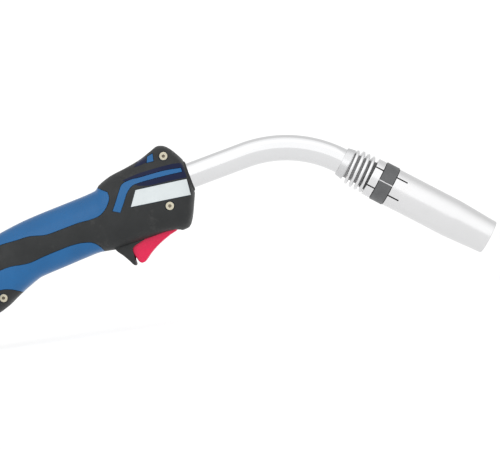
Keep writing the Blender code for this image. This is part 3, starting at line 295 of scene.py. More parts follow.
# ---- where the drawn frame lies -----------------------------------------------------------------------
joints = {joint["name"]: joint for joint in frame["joints"]}
UP = Vector(joints["plunger_push"]["axis"]).normalized()
LEFT = Vector((0.0, 1.0, 0.0))
TURN = Matrix((LEFT.cross(UP), LEFT, UP)).transposed().to_4x4()
TORCH = Matrix.Translation(joints["trigger_press"]["pos_m"]) @ TURN @ Matrix.Translation(-PIVOT * MM)


def axis_at(origin, direction):
    """A frame whose Z runs along direction from origin. Its X is the torch's right, or forward where Z is."""
    z = Vector(direction).normalized()
    right = Vector((0.0, -1.0, 0.0))
    x = right if abs(z.y) < 1.0 else Vector((1.0, 0.0, 0.0))
    y = z.cross(x).normalized()
    turn = Matrix((x, y, z)).transposed().to_4x4()
    return TORCH @ Matrix.Translation(Vector(origin) * MM) @ turn


def across(x, z):
    """The axis along Y through a drawn point of the side view."""
    return axis_at((x, 0.0, z), (0.0, 1.0, 0.0))


NECK_AXIS = axis_at((0.0, 0.0, NECK_RISE), (1.0, 0.0, 0.0))
INLET_AXIS = axis_at((0.0, 0.0, 0.0), (1.0, 0.0, 0.0))
BEND = math.radians(BEND_ANGLE)


def bend_point(angle):
    """A drawn point of the neck's centre line in the bend."""
    rise = NECK_RISE - BEND_RADIUS * (1 - math.cos(angle))
    return Vector((HEAD_FACE + NECK_REACH + BEND_RADIUS * math.sin(angle), 0.0, rise))


NOZZLE_WAY = Vector((math.cos(BEND), 0.0, -math.sin(BEND)))
NOZZLE_AXIS = axis_at(bend_point(BEND), NOZZLE_WAY)
SPRING_START = COLLAR_LENGTH + GAP
NOZZLE_REAR = SPRING_START + SPRING_LENGTH + GAP
NOZZLE_FRONT = NOZZLE_REAR + NOZZLE_LENGTH
NECK_END = NOZZLE_REAR - 4.0


# ---- materials ----------------------------------------------------------------------------------------


def add(tree, kind, place, **values):
    """A node at a place in the tree. Values go to its inputs by name, and else to its properties."""
    made = tree.nodes.new(kind)
    made.location = (place[0] * 200, place[1] * 200)
    for name, value in values.items():
        label = name.replace("_", " ").title()
        if label in made.inputs:
            made.inputs[label].default_value = value
        else:
            setattr(made, name, value)
    return made


def shade(colour, by):
    return (*(min(channel * by, 1.0) for channel in colour), 1.0)


def noise(tree, places, place, scale, kind):
    """A noise texture's value at the given places. Its kind is its detail and roughness."""
    made = add(tree, "ShaderNodeTexNoise", place, scale=scale, detail=kind[0], roughness=kind[1])
    tree.links.new(places, made.inputs["Vector"])
    return made.outputs["Fac"]


def spread(tree, source, span, low, high, place, kind="LINEAR"):
    """A value mapped from a span to low and high."""
    made = add(tree, "ShaderNodeMapRange", place, interpolation_type=kind, from_min=span[0],
               from_max=span[1], to_min=low, to_max=high)
    tree.links.new(source, made.inputs["Value"])
    return made.outputs["Result"]


def make_look(name, colour, rough, metallic, mottle, grain):
    """A material with mottled colour and gloss and a fine surface, from its row in LOOKS."""
    made = bpy.data.materials.new(name)
    made.use_nodes = True
    tree = made.node_tree
    shader = tree.nodes["Principled BSDF"]
    shader.inputs["Metallic"].default_value = metallic
    shader.inputs["Specular IOR Level"].default_value = SPECULAR.get(name, 0.5)
    places = add(tree, "ShaderNodeTexCoord", (-6, 0)).outputs["Object"]
    fine_places = places
    if name in STRETCH:
        mapped = add(tree, "ShaderNodeMapping", (-5, -1), scale=STRETCH[name])
        tree.links.new(places, mapped.inputs["Vector"])
        fine_places = mapped.outputs["Vector"]
    cloud = noise(tree, places, (-4, 1), mottle[0], MOTTLE_NOISE)
    mix = add(tree, "ShaderNodeMix", (-2, 2), data_type="RGBA")
    mix.inputs[6].default_value = shade(colour, 1 - mottle[1])
    mix.inputs[7].default_value = shade(colour, 1 + mottle[1])
    tree.links.new(spread(tree, cloud, NOISE_SPAN, 0.0, 1.0, (-3, 2)), mix.inputs["Factor"])
    tree.links.new(mix.outputs[2], shader.inputs["Base Color"])
    smear = noise(tree, fine_places, (-4, 0), mottle[0] * SMEAR_SCALE, SMEAR_NOISE)
    tree.links.new(spread(tree, smear, NOISE_SPAN, *rough, (-2, 0)), shader.inputs["Roughness"])
    fine = noise(tree, fine_places, (-4, -1), grain[0], GRAIN_NOISE)
    bump = add(tree, "ShaderNodeBump", (-2, -1), strength=GRAIN_STRENGTH, distance=grain[1] * MM)
    tree.links.new(fine, bump.inputs["Height"])
    tree.links.new(bump.outputs["Normal"], shader.inputs["Normal"])
    return made


def add_scuffs(look, colour, scale, share):
    """Pale rubbed patches, where the surface has been handled."""
    tree = look.node_tree
    shader = tree.nodes["Principled BSDF"]
    base = shader.inputs["Base Color"].links[0].from_socket
    places = next(n for n in tree.nodes if n.bl_idname == "ShaderNodeTexCoord").outputs["Object"]
    rub = noise(tree, places, (-4, 4), scale, SCUFF_NOISE)
    mix = add(tree, "ShaderNodeMix", (-1, 3), data_type="RGBA")
    mix.inputs[7].default_value = (*colour, 1.0)
    tree.links.new(base, mix.inputs[6])
    tree.links.new(spread(tree, rub, SCUFF_SPAN, 0.0, share, (-3, 4)), mix.inputs["Factor"])
    tree.links.new(mix.outputs[2], shader.inputs["Base Color"])


def make_looks():
    looks = {name: make_look(name, *row) for name, row in LOOKS.items()}
    for name, row in SCUFFS.items():
        add_scuffs(looks[name], *row)
    return looks


# ---- building blocks ----------------------------------------------------------------------------------


def finish(name, bm, place=TORCH):
    """A named object from a bmesh drawn in millimetres in a placed frame, with its faces pointing out."""
    bmesh.ops.recalc_face_normals(bm, faces=bm.faces)
    for vert in bm.verts:
        vert.co *= MM
    mesh = bpy.data.meshes.new(name)
    bm.to_mesh(mesh)
    bm.free()
    made = bpy.data.objects.new(name, mesh)
    bpy.context.scene.collection.objects.link(made)
    made.matrix_world = place
    return made


def skin_rings(bm, rings, closed_ends=True):
    """Joins rings of points with quads, and caps the first and the last."""
    loops = [[bm.verts.new(point) for point in ring] for ring in rings]
    count = len(loops[0])
    for near, far in zip(loops, loops[1:]):
        for i in range(count):
            j = (i + 1) % count
            bm.faces.new((near[i], near[j], far[j], far[i]))
    if closed_ends:
        bm.faces.new(list(reversed(loops[0])))
        bm.faces.new(loops[-1])
    return loops


def prism(name, outline, low, high):
    """An outline in X and Z, extruded across from Y low to Y high."""
    bm = bmesh.new()
    near = [bm.verts.new((x, low, z)) for x, z in outline]
    far = [bm.verts.new((x, high, z)) for x, z in outline]
    bm.faces.new(near)
    bm.faces.new(list(reversed(far)))
    for i in range(len(outline)):
        j = (i + 1) % len(outline)
        bm.faces.new((near[i], far[i], far[j], near[j]))
    return finish(name, bm)


def box(name, low, high):
    outline = [(low[0], low[2]), (high[0], low[2]), (high[0], high[2]), (low[0], high[2])]
    return prism(name, outline, low[1], high[1])


def turned(name, profile, axis, sides=96):
    """A solid turned about an axis from (along, radius) pairs. One that starts on the axis is solid."""
    solid = profile[0][1] == 0.0
    points = profile[1:-1] if solid else profile
    bm = bmesh.new()
    loops = []
    for height, radius in points:
        turns = [2 * math.pi * k / sides for k in range(sides)]
        loops.append([bm.verts.new((radius * math.cos(t), radius * math.sin(t), height)) for t in turns])
    pairs = list(zip(loops, loops[1:]))
    if not solid:
        pairs.append((loops[-1], loops[0]))
    for near, far in pairs:
        for i in range(sides):
            j = (i + 1) % sides
            bm.faces.new((near[i], near[j], far[j], far[i]))
    if solid:
        bm.faces.new(list(reversed(loops[0])))
        bm.faces.new(loops[-1])
    return finish(name, bm, axis)


def rod(name, start, end, radius, axis, sides=32):
    return turned(name, [(start, 0.0), (start, radius), (end, radius), (end, 0.0)], axis, sides)


def eased(profile, radius, steps=3):
    """A profile whose corners are rounded. A corner next to a short run gets a smaller radius."""
    made = []
    for i, here in enumerate(profile):
        here = Vector(here)
        before = Vector(profile[i - 1])
        after = Vector(profile[(i + 1) % len(profile)])
        reach = min(radius, (before - here).length * RUN_SHARE, (after - here).length * RUN_SHARE)
        first = here + (before - here).normalized() * reach
        last = here + (after - here).normalized() * reach
        for k in range(steps + 1):
            share = k / steps
            made.append(tuple(first.lerp(here, share).lerp(here.lerp(last, share), share)))
    return made


def sweep(name, path, radius, sides, place=TORCH, bore=None):
    """A round bar along a path of points, or a tube where it has a bore."""
    bm = bmesh.new()
    walls = []
    for size in (radius,) if bore is None else (radius, bore):
        side = None
        rings = []
        for i, point in enumerate(path):
            forward = (path[min(i + 1, len(path) - 1)] - path[max(i - 1, 0)]).normalized()
            side = forward.orthogonal() if side is None else side - forward * side.dot(forward)
            side.normalize()
            up = forward.cross(side)
            turns = [2 * math.pi * k / sides for k in range(sides)]
            rings.append([point + (side * math.cos(t) + up * math.sin(t)) * size for t in turns])
        walls.append(skin_rings(bm, rings, closed_ends=bore is None))
    if bore is not None:
        for end in (0, -1):
            for i in range(sides):
                j = (i + 1) % sides
                bm.faces.new((walls[0][end][i], walls[0][end][j], walls[1][end][j], walls[1][end][i]))
    return finish(name, bm, place)


def carve(body, tools, operation="DIFFERENCE"):
    """Joins, cuts or keeps what the tools share with body, and removes the tools."""
    for tool in tools:
        modifier = body.modifiers.new(operation.lower(), "BOOLEAN")
        modifier.operation = operation
        modifier.solver = "EXACT"
        modifier.object = tool
    return settle(body, tools)


def settle(body, tools=()):
    """Applies a body's modifiers to its mesh."""
    bpy.context.view_layer.update()
    graph = bpy.context.evaluated_depsgraph_get()
    mesh = bpy.data.meshes.new_from_object(body.evaluated_get(graph))
    body.modifiers.clear()
    old = body.data
    body.data = mesh
    bpy.data.meshes.remove(old)
    for tool in tools:
        bpy.data.objects.remove(tool)
    return body


def soften(body, width):
    """Rounds a body's sharp edges by a width in millimetres."""
    modifier = body.modifiers.new("round", "BEVEL")
    modifier.width = width * MM
    modifier.segments = 4
    modifier.limit_method = "ANGLE"
    modifier.angle_limit = math.radians(OUTLINE_CORNER)
    modifier.use_clamp_overlap = True
    modifier.miter_outer = "MITER_ARC"
    return settle(body)


def copy_of(body, name):
    made = body.copy()
    made.data = body.data.copy()
    made.name = name
    bpy.context.scene.collection.objects.link(made)
    return made


def dress(piece, look, body, *nodes):
    """Gives a finished piece its material, its body and the solids that it stands for."""
    piece.data.materials.clear()
    piece.data.materials.append(look)
    piece.data.shade_smooth()
    piece.data.set_sharp_from_angle(angle=math.radians(SMOOTH_ANGLE))
    piece.modifiers.new("weigh", "WEIGHTED_NORMAL").keep_sharp = True
    settle(piece)
    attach(piece, body)
    if nodes:
        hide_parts(*nodes)
    return piece


# ---- handle -------------------------------------------------------------------------------------------


def slopes(places, values):
    """Slopes of a curve through the points that doesn't overshoot them."""
    runs = [b - a for a, b in zip(places, places[1:])]
    steps = [(b - a) / run for a, b, run in zip(values, values[1:], runs)]
    made = [steps[0]]
    for i in range(1, len(steps)):
        first, second = steps[i - 1], steps[i]
        if first * second <= 0:
            made.append(0.0)
            continue
        near = 2 * runs[i] + runs[i - 1]
        far = runs[i] + 2 * runs[i - 1]
        made.append((near + far) / (near / first + far / second))
    return made + [steps[-1]]


def fine_sections():
    """The handle's sections about a millimetre and a half apart, on smooth curves through the drawn ones."""
    places = [(row[0] + row[2]) / 2 for row in SECTIONS]
    columns = list(zip(*SECTIONS))
    leans = [slopes(places, column) for column in columns]
    made = []
    for i in range(len(SECTIONS) - 1):
        run = places[i + 1] - places[i]
        count = max(1, round(run / RING_STEP))
        for k in range(count):
            t = k / count
            rise = t * t * (3 - 2 * t)
            lift = run * t * (1 - t) ** 2
            drop = run * t * t * (1 - t)
            made.append(tuple(
                column[i] * (1 - rise) + column[i + 1] * rise + lean[i] * lift - lean[i + 1] * drop
                for column, lean in zip(columns, leans)
            ))
    made.append(SECTIONS[-1])
    return made


FINE_SECTIONS = fine_sections()


def section_ring(section, inset, face, rim):
    """The rim points of one handle section, drawn in by inset, and kept behind the given face."""
    top_x, top_z, low_x, low_z, half_width, exponent = section
    top = Vector((min(top_x, face), 0.0, top_z))
    low = Vector((min(low_x, face), 0.0, low_z))
    middle = (top + low) / 2
    half = (top - low) / 2
    upright = half.normalized() * (half.length - inset)
    ring = []
    for k in range(rim):
        turn = 2 * math.pi * k / rim
        c, s = math.cos(turn), math.sin(turn)
        reach = (abs(c) ** exponent + abs(s) ** exponent) ** (-1 / exponent)
        ring.append(middle + upright * s * reach + Vector((0.0, c * reach * (half_width - inset), 0.0)))
    return ring


def handle_body(name, inset, rear=0.0, fineness=FINEST):
    """The handle's outer form, drawn in by inset, with its rear face at the given X."""
    step, rim = fineness
    sections = FINE_SECTIONS[:-1][::step] + [FINE_SECTIONS[-1]]
    rings = [section_ring(section, inset, HEAD_FACE - inset, rim) for section in sections]
    first, second = rings[0], rings[1]
    share = rear / sections[1][0]
    rings[0] = [a.lerp(b, share) for a, b in zip(first, second)]
    bm = bmesh.new()
    skin_rings(bm, rings)
    bmesh.ops.triangulate(bm, faces=bm.faces, quad_method="SHORT_EDGE")
    return finish(name, bm)


def rounded(outline):
    """A closed outline with smooth curves through its points, apart from its sharp corners."""
    count = len(outline)
    points = [Vector(point) for point in outline]
    tangents = []
    for i, here in enumerate(points):
        first = (here - points[i - 1]).normalized()
        second = (points[(i + 1) % count] - here).normalized()
        sharp = math.degrees(first.angle(second)) > OUTLINE_CORNER
        tangents.append(None if sharp else (first + second).normalized())
    made = []
    for i, here in enumerate(points):
        there = points[(i + 1) % count]
        chord = there - here
        steps = max(1, min(40, round(chord.length / OUTLINE_STEP)))
        leave = (tangents[i] or chord.normalized()) * chord.length
        arrive = (tangents[(i + 1) % count] or chord.normalized()) * chord.length
        for k in range(steps):
            t = k / steps
            rise = t * t * (3 - 2 * t)
            point = here.lerp(there, rise) + leave * t * (1 - t) ** 2 - arrive * t * t * (1 - t)
            made.append(tuple(point))
    return made


def grown(outline, by):
    """An outline moved outwards by a distance, corner by corner."""
    area = sum(a[0] * b[1] - b[0] * a[1] for a, b in zip(outline, outline[1:] + outline[:1]))
    turn = 1.0 if area > 0 else -1.0
    made = []
    for i, (x, z) in enumerate(outline):
        here = Vector((x, z))
        first = (here - Vector(outline[i - 1])).normalized()
        second = (Vector(outline[(i + 1) % len(outline)]) - here).normalized()
        normal = Vector((first.y + second.y, -first.x - second.x)) * turn
        normal.normalize()
        lean = max(normal.dot(Vector((first.y, -first.x)) * turn), 0.5)
        made.append(tuple(here + normal * by / lean))
    return made


def blue_prisms(grow):
    outlines = {"top": BLUE_TOP, "belly": BLUE_BELLY, "stripe": BLUE_STRIPE, "window": BLUE_WINDOW}
    return [prism(name, grown(rounded(outline), grow), -BEYOND, BEYOND) for name, outline in outlines.items()]


def other_half(side):
    """Everything that one half leaves to the other. side is -1 for the right half and 1 for the left."""
    low, high = sorted((side * PARTING / 2, -side * BEYOND))
    return box("other_half", (-BEYOND, low, -2 * BEYOND), (4 * BEYOND, high, 2 * BEYOND))


def half_body(name, side, inset, fineness=FINEST):
    return carve(handle_body(name, inset, 0.0, fineness), [other_half(side)])


def hex_corner(flats):
    """The radius at the corners of a hexagon."""
    return flats / 2 / math.cos(math.pi / 6)


def surface_at(x, z):
    """Half the handle's width at a drawn point of the side view."""
    best = 0.0
    for near, far in zip(SECTIONS, SECTIONS[1:]):
        lean = (near[0] + (near[2] - near[0]) * (near[1] - z) / (near[1] - near[3]),
                far[0] + (far[2] - far[0]) * (far[1] - z) / (far[1] - far[3]))
        if not lean[0] <= x <= lean[1]:
            continue
        share = (x - lean[0]) / (lean[1] - lean[0])
        top, low, width, exponent = (near[i] + (far[i] - near[i]) * share for i in (1, 3, 4, 5))
        rise = min(abs(2 * z - top - low) / (top - low), 1.0)
        best = width * (1 - rise**exponent) ** (1 / exponent)
    return best


def face_at(x, z):
    """Half the handle's width where it is least, within a screw's head."""
    reach = SCREW_HEAD / 2
    return min(surface_at(x + dx, z + dz) for dx, dz in ((reach, 0), (-reach, 0), (0, reach), (0, -reach)))


def screw_floor(face):
    return -face + SCREW_HEAD_HEIGHT + SUNK


def nut_floor(face):
    return face - NUT_HEIGHT - SUNK


def shell_holes(side):
    """What is cut from one half shell and its overmould alike."""
    half = TRIGGER_WIDTH / 2 + SLOT_CLEARANCE
    neck = HEAD_FACE - NECK_IN_HANDLE - GAP
    beyond = HEAD_FACE + PAST
    made = [
        box("slot", (SLOT[0], -half, -BEYOND), (SLOT[1], half, SLOT_ROOF)),
        box("stop_pocket", (STOP_POCKET[0], -half, STOP_POCKET[1]), (SLOT[0] + PAST, half, SLOT_ROOF)),
        rod("neck_way", neck, beyond, NECK_OD / 2 + GAP, NECK_AXIS, sides=64),
        rod("seal_seat", HEAD_FACE - SEAL_WIDTH - GAP, beyond, SEAL_OD / 2 + GAP, NECK_AXIS, sides=64),
        rod("inlet", -PAST, REAR_WALL + PAST, INLET_BORE / 2, INLET_AXIS, sides=64),
    ]
    near, far = sorted((0.0, side * (PIVOT_LENGTH / 2 + GAP)))
    made.append(rod("pivot_hole", near, far, PIVOT_OD / 2 + GAP, across(PIVOT.x, PIVOT.z)))
    for x, z in SCREWS.values():
        face = face_at(x, z)
        axis = across(x, z)
        made.append(rod("shank", -BEYOND, BEYOND, SCREW_OD / 2 + GAP, axis, sides=24))
        if side < 0:
            made.append(rod("head_pocket", -BEYOND, screw_floor(face), SCREW_HEAD / 2 + GAP, axis, sides=40))
        else:
            corner = hex_corner(NUT_FLATS + 2 * GAP)
            made.append(rod("nut_pocket", nut_floor(face), BEYOND, corner, axis, sides=6))
    return made


def room():
    """The space inside the handle's walls."""
    return handle_body("room", WALL, REAR_WALL, COARSE)


def cavity():
    """The room inside the handle, less the screws' bosses."""
    return carve(room(), [
        rod("boss", -BEYOND, BEYOND, BOSS_RADIUS, across(x, z), sides=24) for x, z in SCREWS.values()
    ])


def make_half(side, name, looks):
    """A half shell, the overmould on it, and the blank plate let into the overmould."""
    outer = half_body(f"handle_black_{name}", side, 0.0)
    shell = half_body(f"handle_blue_{name}", side, SKIN + GAP, FINE)
    shown = [carve(copy_of(outer, "shown"), [window], "INTERSECT") for window in blue_prisms(0.0)]
    carve(shell, shown, "UNION")
    carve(shell, [cavity(), *shell_holes(side)])

    plate = half_body(f"plate_{name}", side, PLATE_SUNK)
    carve(plate, [handle_body("behind", SKIN - GAP, -PAST, FINE)])
    carve(plate, [prism("plate_outline", LABEL, -BEYOND, BEYOND)], "INTERSECT")

    half_stop = STOP_WIDTH / 2
    stop = carve(prism("stop", rounded(STOP), -half_stop, half_stop), [other_half(side)])
    carve(outer, [stop], "UNION")
    plate_cut = prism("plate_cut", grown(LABEL, GAP), -BEYOND, BEYOND)
    carve(outer, [handle_body("under", SKIN, -PAST, FINE), plate_cut, *blue_prisms(GAP)])
    carve(outer, shell_holes(side))

    dress(shell, looks["blue_plastic"], "torch", f"shell_{name}")
    dress(outer, looks["black_overmould"], "torch", f"overmould_{name}")
    dress(plate, looks["label_white"], "torch", f"name_plate_{name}")
    make_painted_shade(side, name, looks)


def make_tongue(looks):
    """The thin rib between the halves, set back from the surface, that closes the slit."""
    tongue = handle_body("parting_tongue", SKIN)
    slit = box("slit", (-BEYOND, -TONGUE / 2, -2 * BEYOND), (4 * BEYOND, TONGUE / 2, 2 * BEYOND))
    carve(tongue, [slit], "INTERSECT")
    carve(tongue, [room(), *shell_holes(-1)])
    dress(tongue, looks["black_overmould"], "torch")


def make_painted_shade(side, name, looks):
    """Painted shade on the head: a film of darker blue on the overmould, for the stripe's shaded lower flank and a
    shaded facet by the window.
    """
    gaps = {"painted_flank_shade": [BLUE_STRIPE], "painted_facet_shade": [BLUE_WINDOW]}
    for title, outline in {"painted_flank_shade": SHADED_FLANK_FIELD, "painted_facet_shade": SHADED_FACET_FIELD}.items():
        film = half_body(f"{title}_{name}", side, -FILM)
        carve(film, [handle_body("behind", FILM, -PAST)])
        carve(film, [prism("field", outline, -BEYOND, BEYOND)], "INTERSECT")
        carve(film, [prism("blue", grown(rounded(other), GAP), -BEYOND, BEYOND) for other in gaps[title]])
        dress(film, looks["painted_shade_blue"], "torch")


# ---- neck and nozzle ----------------------------------------------------------------------------------


def make_neck(looks):
    """The chromed tube, the collar at its end and the seal where it enters the head."""
    straight = (HEAD_FACE - NECK_IN_HANDLE, HEAD_FACE, HEAD_FACE + NECK_REACH)
    points = [Vector((x, 0.0, NECK_RISE)) for x in straight]
    points += [bend_point(BEND * k / BEND_STEPS) for k in range(1, BEND_STEPS + 1)]
    points.append(points[-1] + NOZZLE_WAY * NECK_END)
    tube = sweep("neck", points, NECK_OD / 2, NECK_SIDES, bore=NECK_OD / 2 - NECK_WALL)
    dress(tube, looks["neck_chrome"], "torch", "neck_tube")

    bore = NECK_OD / 2 + GAP
    profile = [(0.0, bore), (0.0, COLLAR_REAR_OD / 2), (COLLAR_LENGTH, COLLAR_OD / 2), (COLLAR_LENGTH, bore)]
    collar = turned("collar", eased(profile, COLLAR_ROUND), NOZZLE_AXIS)
    dress(collar, looks["bright_chrome"], "torch", "neck_collar")

    rim = SEAL_OD / 2
    rear = HEAD_FACE - SEAL_WIDTH
    front = HEAD_FACE + SEAL_LIP
    profile = [
        (rear, bore), (rear, rim), (front - SEAL_CHAMFER, rim), (front, rim - SEAL_CHAMFER), (front, bore),
    ]
    seal = turned("seal", eased(profile, SEAL_ROUND), NECK_AXIS)
    dress(seal, looks["seal_rubber"], "torch", "neck_seal")

    inner = NECK_OD / 2
    outer = inner + SLEEVE
    end = NECK_END + SLEEVE_PAST
    profile = [(SPRING_START, inner), (SPRING_START, outer), (end, outer), (end, inner)]
    dress(turned("neck_sleeving", profile, NOZZLE_AXIS), looks["sleeving"], "torch")


def make_spring(looks):
    """The coil spring behind the nozzle, wound from the collar outwards."""
    count = round(SPRING_TURNS * TURN_STEPS)
    points = []
    for k in range(count + 1):
        turn = math.radians(SPRING_PHASE) + 2 * math.pi * k / TURN_STEPS
        widened = min(k / TURN_STEPS, 1.0)
        radius = (SPRING_WAIST * (1 - widened) + SPRING_OD * widened - SPRING_WIRE) / 2
        height = SPRING_START + SPRING_WIRE / 2 + (SPRING_LENGTH - SPRING_WIRE) * k / count
        points.append(Vector((radius * math.cos(turn), radius * math.sin(turn), height)))
    first = points[0] + (points[0] - points[1]).normalized() * SPRING_WIRE
    last = points[-1] + (points[-1] - points[-2]).normalized() * SPRING_WIRE
    first.z, last.z = points[0].z, points[-1].z
    coil = sweep("coil_spring", [first, *points, last], SPRING_WIRE / 2, WIRE_SIDES, NOZZLE_AXIS)
    dress(coil, looks["spring_steel"], "torch", "nozzle_spring")


def bar(reach, half_width, length, turn=0.0):
    """A straight bar along the nozzle's axis, standing off it to one side."""
    bm = bmesh.new()
    bmesh.ops.create_cube(bm, size=1.0)
    size = Matrix.Diagonal((reach[1] - reach[0], 2 * half_width, length[1] - length[0], 1.0))
    place = Matrix.Translation(((reach[0] + reach[1]) / 2, 0.0, (length[0] + length[1]) / 2))
    bm.transform(Matrix.Rotation(turn, 4, "Z") @ place @ size)
    return finish("bar", bm, NOZZLE_AXIS)


def make_nozzle(looks):
    """The slotted, tapered nozzle and the split band in its groove."""
    body = NOZZLE_OD / 2
    bore = NOZZLE_BORE / 2
    groove = BAND_OD / 2 - BAND_THICKNESS - GAP
    first = NOZZLE_REAR + BAND_OFFSET
    last = first + BAND_WIDTH
    shoulder = NOZZLE_FRONT - NOZZLE_TAPER
    profile = [
        (NOZZLE_REAR, bore), (NOZZLE_REAR, body), (first - GAP, body), (first - GAP, groove),
        (last + GAP, groove), (last + GAP, body), (shoulder, body), (NOZZLE_FRONT, MOUTH_OD / 2),
        (NOZZLE_FRONT, MOUTH_BORE / 2), (shoulder, bore),
    ]
    nozzle = turned("gas_nozzle", eased(profile, NOZZLE_ROUND, 4), NOZZLE_AXIS, NOZZLE_SIDES)
    length = (NOZZLE_REAR - PAST, NOZZLE_REAR + SLOT_LENGTH)
    slots = []
    for k in range(SLOT_COUNT):
        turn = math.radians(SLOT_ANGLE) + 2 * math.pi * k / SLOT_COUNT
        slots.append(bar((bore - PAST, body + PAST), SLOT_WIDTH / 2, length, turn))
    dress(carve(nozzle, slots), looks["nozzle_nickel"], "nozzle", "nozzle")

    outer = BAND_OD / 2
    profile = [(first, outer - BAND_THICKNESS), (first, outer), (last, outer), (last, outer - BAND_THICKNESS)]
    band = turned("clamp_band", eased(profile, BAND_ROUND), NOZZLE_AXIS, NOZZLE_SIDES)
    split = bar((bore, outer + PAST), BAND_SPLIT / 2, (first - PAST, last + PAST))
    dress(carve(band, [split]), looks["dark_band"], "nozzle", "nozzle_band")


# ---- trigger and fasteners ----------------------------------------------------------------------------


def make_trigger(looks):
    """The trigger, with its edges rounded."""
    half = TRIGGER_WIDTH / 2
    trigger = soften(prism("finger_trigger", rounded(TRIGGER), -half, half), TRIGGER_ROUND)
    axis = across(PIVOT.x, PIVOT.z)
    carve(trigger, [rod("hole", -BEYOND, BEYOND, PIVOT_OD / 2 + GAP, axis)])
    dress(trigger, looks["red_trigger"], "trigger", "trigger")


def make_fasteners(looks):
    """Socket-headed screws from the right and hexagon nuts on the left."""
    for name, (x, z) in SCREWS.items():
        face = face_at(x, z)
        axis = across(x, z)
        seat = screw_floor(face) - GAP
        far = nut_floor(face) + GAP
        top = seat - SCREW_HEAD_HEIGHT
        end = far + NUT_HEIGHT - GAP
        rim = SCREW_HEAD / 2
        corners = [(seat, SCREW_OD / 2), (seat, rim), (top, rim), (top, NEAR_AXIS)]
        head = eased(corners, HEAD_ROUND)[4:-4]  # without the corners at the shank and at the axis
        profile = [(end, 0.0), (end, SCREW_OD / 2), (seat, SCREW_OD / 2), *head, (top, 0.0)]
        screw = turned(f"bolt_{name}", profile, axis, BOLT_SIDES)
        floor = top + SOCKET_DEPTH
        socket = rod("socket", -BEYOND, floor, hex_corner(SOCKET_FLATS), axis, sides=6)
        dress(carve(screw, [socket]), looks["plated_screw"], "torch", f"screw_{name}")
        # Painted shade: a dark disc at the socket's floor stands in for the shade inside the socket.
        radius = hex_corner(SOCKET_FLATS) - SHADE_DISC_GAP
        shade_disc = rod(f"painted_shade_disc_{name}", floor - SHADE_DISC_DEPTH, floor - SHADE_DISC_GAP, radius, axis, sides=6)
        dress(shade_disc, looks["painted_socket_shade"], "torch")

        nut_top = far + NUT_HEIGHT
        nut = rod(f"hex_nut_{name}", far, nut_top, hex_corner(NUT_FLATS), axis, sides=6)
        dome = [
            (far - PAST, 0.0), (far - PAST, NUT_DOME), (far + NUT_DOME_RISE, NUT_DOME),
            (nut_top, NUT_TOP_RADIUS), (nut_top, 0.0),
        ]
        carve(nut, [turned("dome", dome, axis, BOLT_SIDES)], "INTERSECT")
        carve(nut, [rod("thread", -BEYOND, BEYOND, SCREW_OD / 2 + GAP, axis)])
        dress(nut, looks["plated_screw"], "torch", f"nut_{name}")


def make_inlet(looks):
    """The ring in the rear wall that the cable enters through."""
    wall = REAR_WALL + GAP
    bore = INLET_PASSAGE / 2
    profile = [
        (0.0, bore), (0.0, INLET_BORE / 2 - GAP), (wall, INLET_BORE / 2 - GAP), (wall, INLET_FLANGE / 2),
        (INLET_DEPTH, INLET_FLANGE / 2), (INLET_DEPTH, bore),
    ]
    ring = turned("cable_ring", eased(profile, RING_ROUND), INLET_AXIS)
    dress(ring, looks["insulator"], "torch", "inlet_ring")


# ---- studio -------------------------------------------------------------------------------------------


def area_light(name, place, size, power):
    """A rectangular lamp that faces the torch."""
    data = bpy.data.lights.new(name, "AREA")
    data.shape = "RECTANGLE"
    data.size, data.size_y = size
    data.energy = power
    made = bpy.data.objects.new(name, data)
    bpy.context.scene.collection.objects.link(made)
    made.location = place
    made.rotation_euler = (Vector(LIT_POINT) - Vector(place)).to_track_quat("-Z", "Y").to_euler()


def make_floor():
    bm = bmesh.new()
    bmesh.ops.create_circle(bm, cap_ends=True, segments=96, radius=FLOOR_RADIUS)
    mesh = bpy.data.meshes.new("floor")
    bm.to_mesh(mesh)
    bm.free()
    floor = bpy.data.objects.new("floor", mesh)
    bpy.context.scene.collection.objects.link(floor)
    floor.location.z = -FLOOR_DROP * MM
    look = bpy.data.materials.new("floor")
    look.use_nodes = True
    shader = look.node_tree.nodes["Principled BSDF"]
    shader.inputs["Base Color"].default_value = FLOOR_GREY
    shader.inputs["Roughness"].default_value = FLOOR_ROUGHNESS
    shader.inputs["Specular IOR Level"].default_value = FLOOR_SPECULAR
    shader.inputs["Emission Color"].default_value = WHITE
    shader.inputs["Emission Strength"].default_value = FLOOR_GLOW
    mesh.materials.append(look)


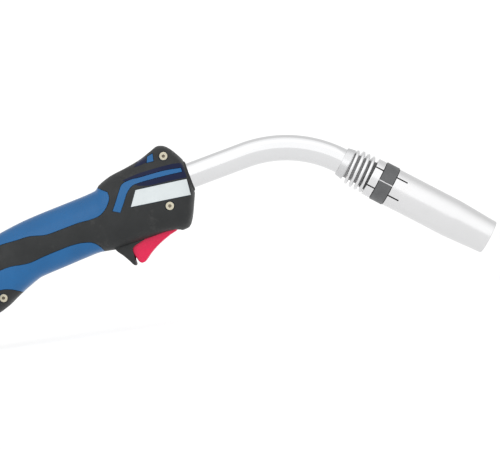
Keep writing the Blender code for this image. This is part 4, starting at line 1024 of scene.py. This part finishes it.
def make_world():
    """A white studio whose wall behind the torch is grey, which gives bright metal its edges.

    The camera sees plain white, and matt surfaces get a light of their own."""
    world = bpy.data.worlds.new("studio")
    bpy.context.scene.world = world
    world.use_nodes = True
    tree = world.node_tree
    back = tree.nodes["Background"]
    back.inputs["Color"].default_value = WHITE
    place = add(tree, "ShaderNodeTexCoord", (-5, 0))
    parts = add(tree, "ShaderNodeSeparateXYZ", (-4, 0))
    tree.links.new(place.outputs["Generated"], parts.inputs["Vector"])
    depth = parts.outputs["Y"]
    wall = spread(tree, depth, WALL_SPAN, STUDIO_LIGHT, WALL_LIGHT, (-3, 0), "SMOOTHSTEP")
    edge = spread(tree, depth, EDGE_SPAN, 0.0, EDGE_LIGHT, (-2, -2), "SMOOTHSTEP")
    mirrored = add(tree, "ShaderNodeMath", (-1, -1), operation="MAXIMUM")
    tree.links.new(wall, mirrored.inputs[0])
    tree.links.new(edge, mirrored.inputs[1])
    lean = add(tree, "ShaderNodeVectorMath", (-3, 1), operation="DOT_PRODUCT")
    lean.inputs[1].default_value = SOFT_LEAN
    tree.links.new(place.outputs["Generated"], lean.inputs[0])
    soft = add(tree, "ShaderNodeMath", (-2, 1), operation="ADD")
    soft.inputs[1].default_value = SOFT_LIGHT
    tree.links.new(lean.outputs["Value"], soft.inputs[0])
    ray = add(tree, "ShaderNodeLightPath", (-3, 3))
    strength = mirrored.outputs[0]
    for column, kind, source in ((0, "Is Diffuse Ray", soft.outputs[0]), (1, "Is Camera Ray", None)):
        mix = add(tree, "ShaderNodeMix", (column, 0), data_type="FLOAT")
        tree.links.new(ray.outputs[kind], mix.inputs["Factor"])
        tree.links.new(strength, mix.inputs[2])
        if source:
            tree.links.new(source, mix.inputs[3])
        else:
            mix.inputs[3].default_value = BACKDROP
        strength = mix.outputs[0]
    tree.links.new(strength, back.inputs["Strength"])


def make_camera():
    """The photograph's view: level with the torch, from its right, rolled so that the neck climbs."""
    data = bpy.data.cameras.new("camera")
    data.lens = CAMERA_LENS
    camera = bpy.data.objects.new("camera", data)
    bpy.context.scene.collection.objects.link(camera)
    roll = Matrix.Rotation(math.radians(CAMERA_ROLL), 4, "Y")
    level = Matrix.Rotation(math.pi / 2, 4, "X")
    camera.matrix_world = Matrix.Translation(CAMERA_PLACE) @ roll @ level
    bpy.context.scene.camera = camera


def make_studio():
    bpy.context.scene.view_settings.view_transform = "Standard"
    make_world()
    make_floor()
    make_camera()
    for name, row in LAMPS.items():
        area_light(name, *row)


# ---- all of it ----------------------------------------------------------------------------------------

SLOTS = {row["node"]: row["material_slot"] for row in frame["record"]["subparts"]}


def main():
    looks = make_looks()
    for name, node in frame["nodes"].items():
        node.data.materials.clear()
        node.data.materials.append(looks[SLOTS[name]])
    make_half(-1, "right", looks)
    make_half(1, "left", looks)
    make_tongue(looks)
    make_neck(looks)
    make_spring(looks)
    make_nozzle(looks)
    make_trigger(looks)
    make_fasteners(looks)
    make_inlet(looks)
    make_studio()


main()
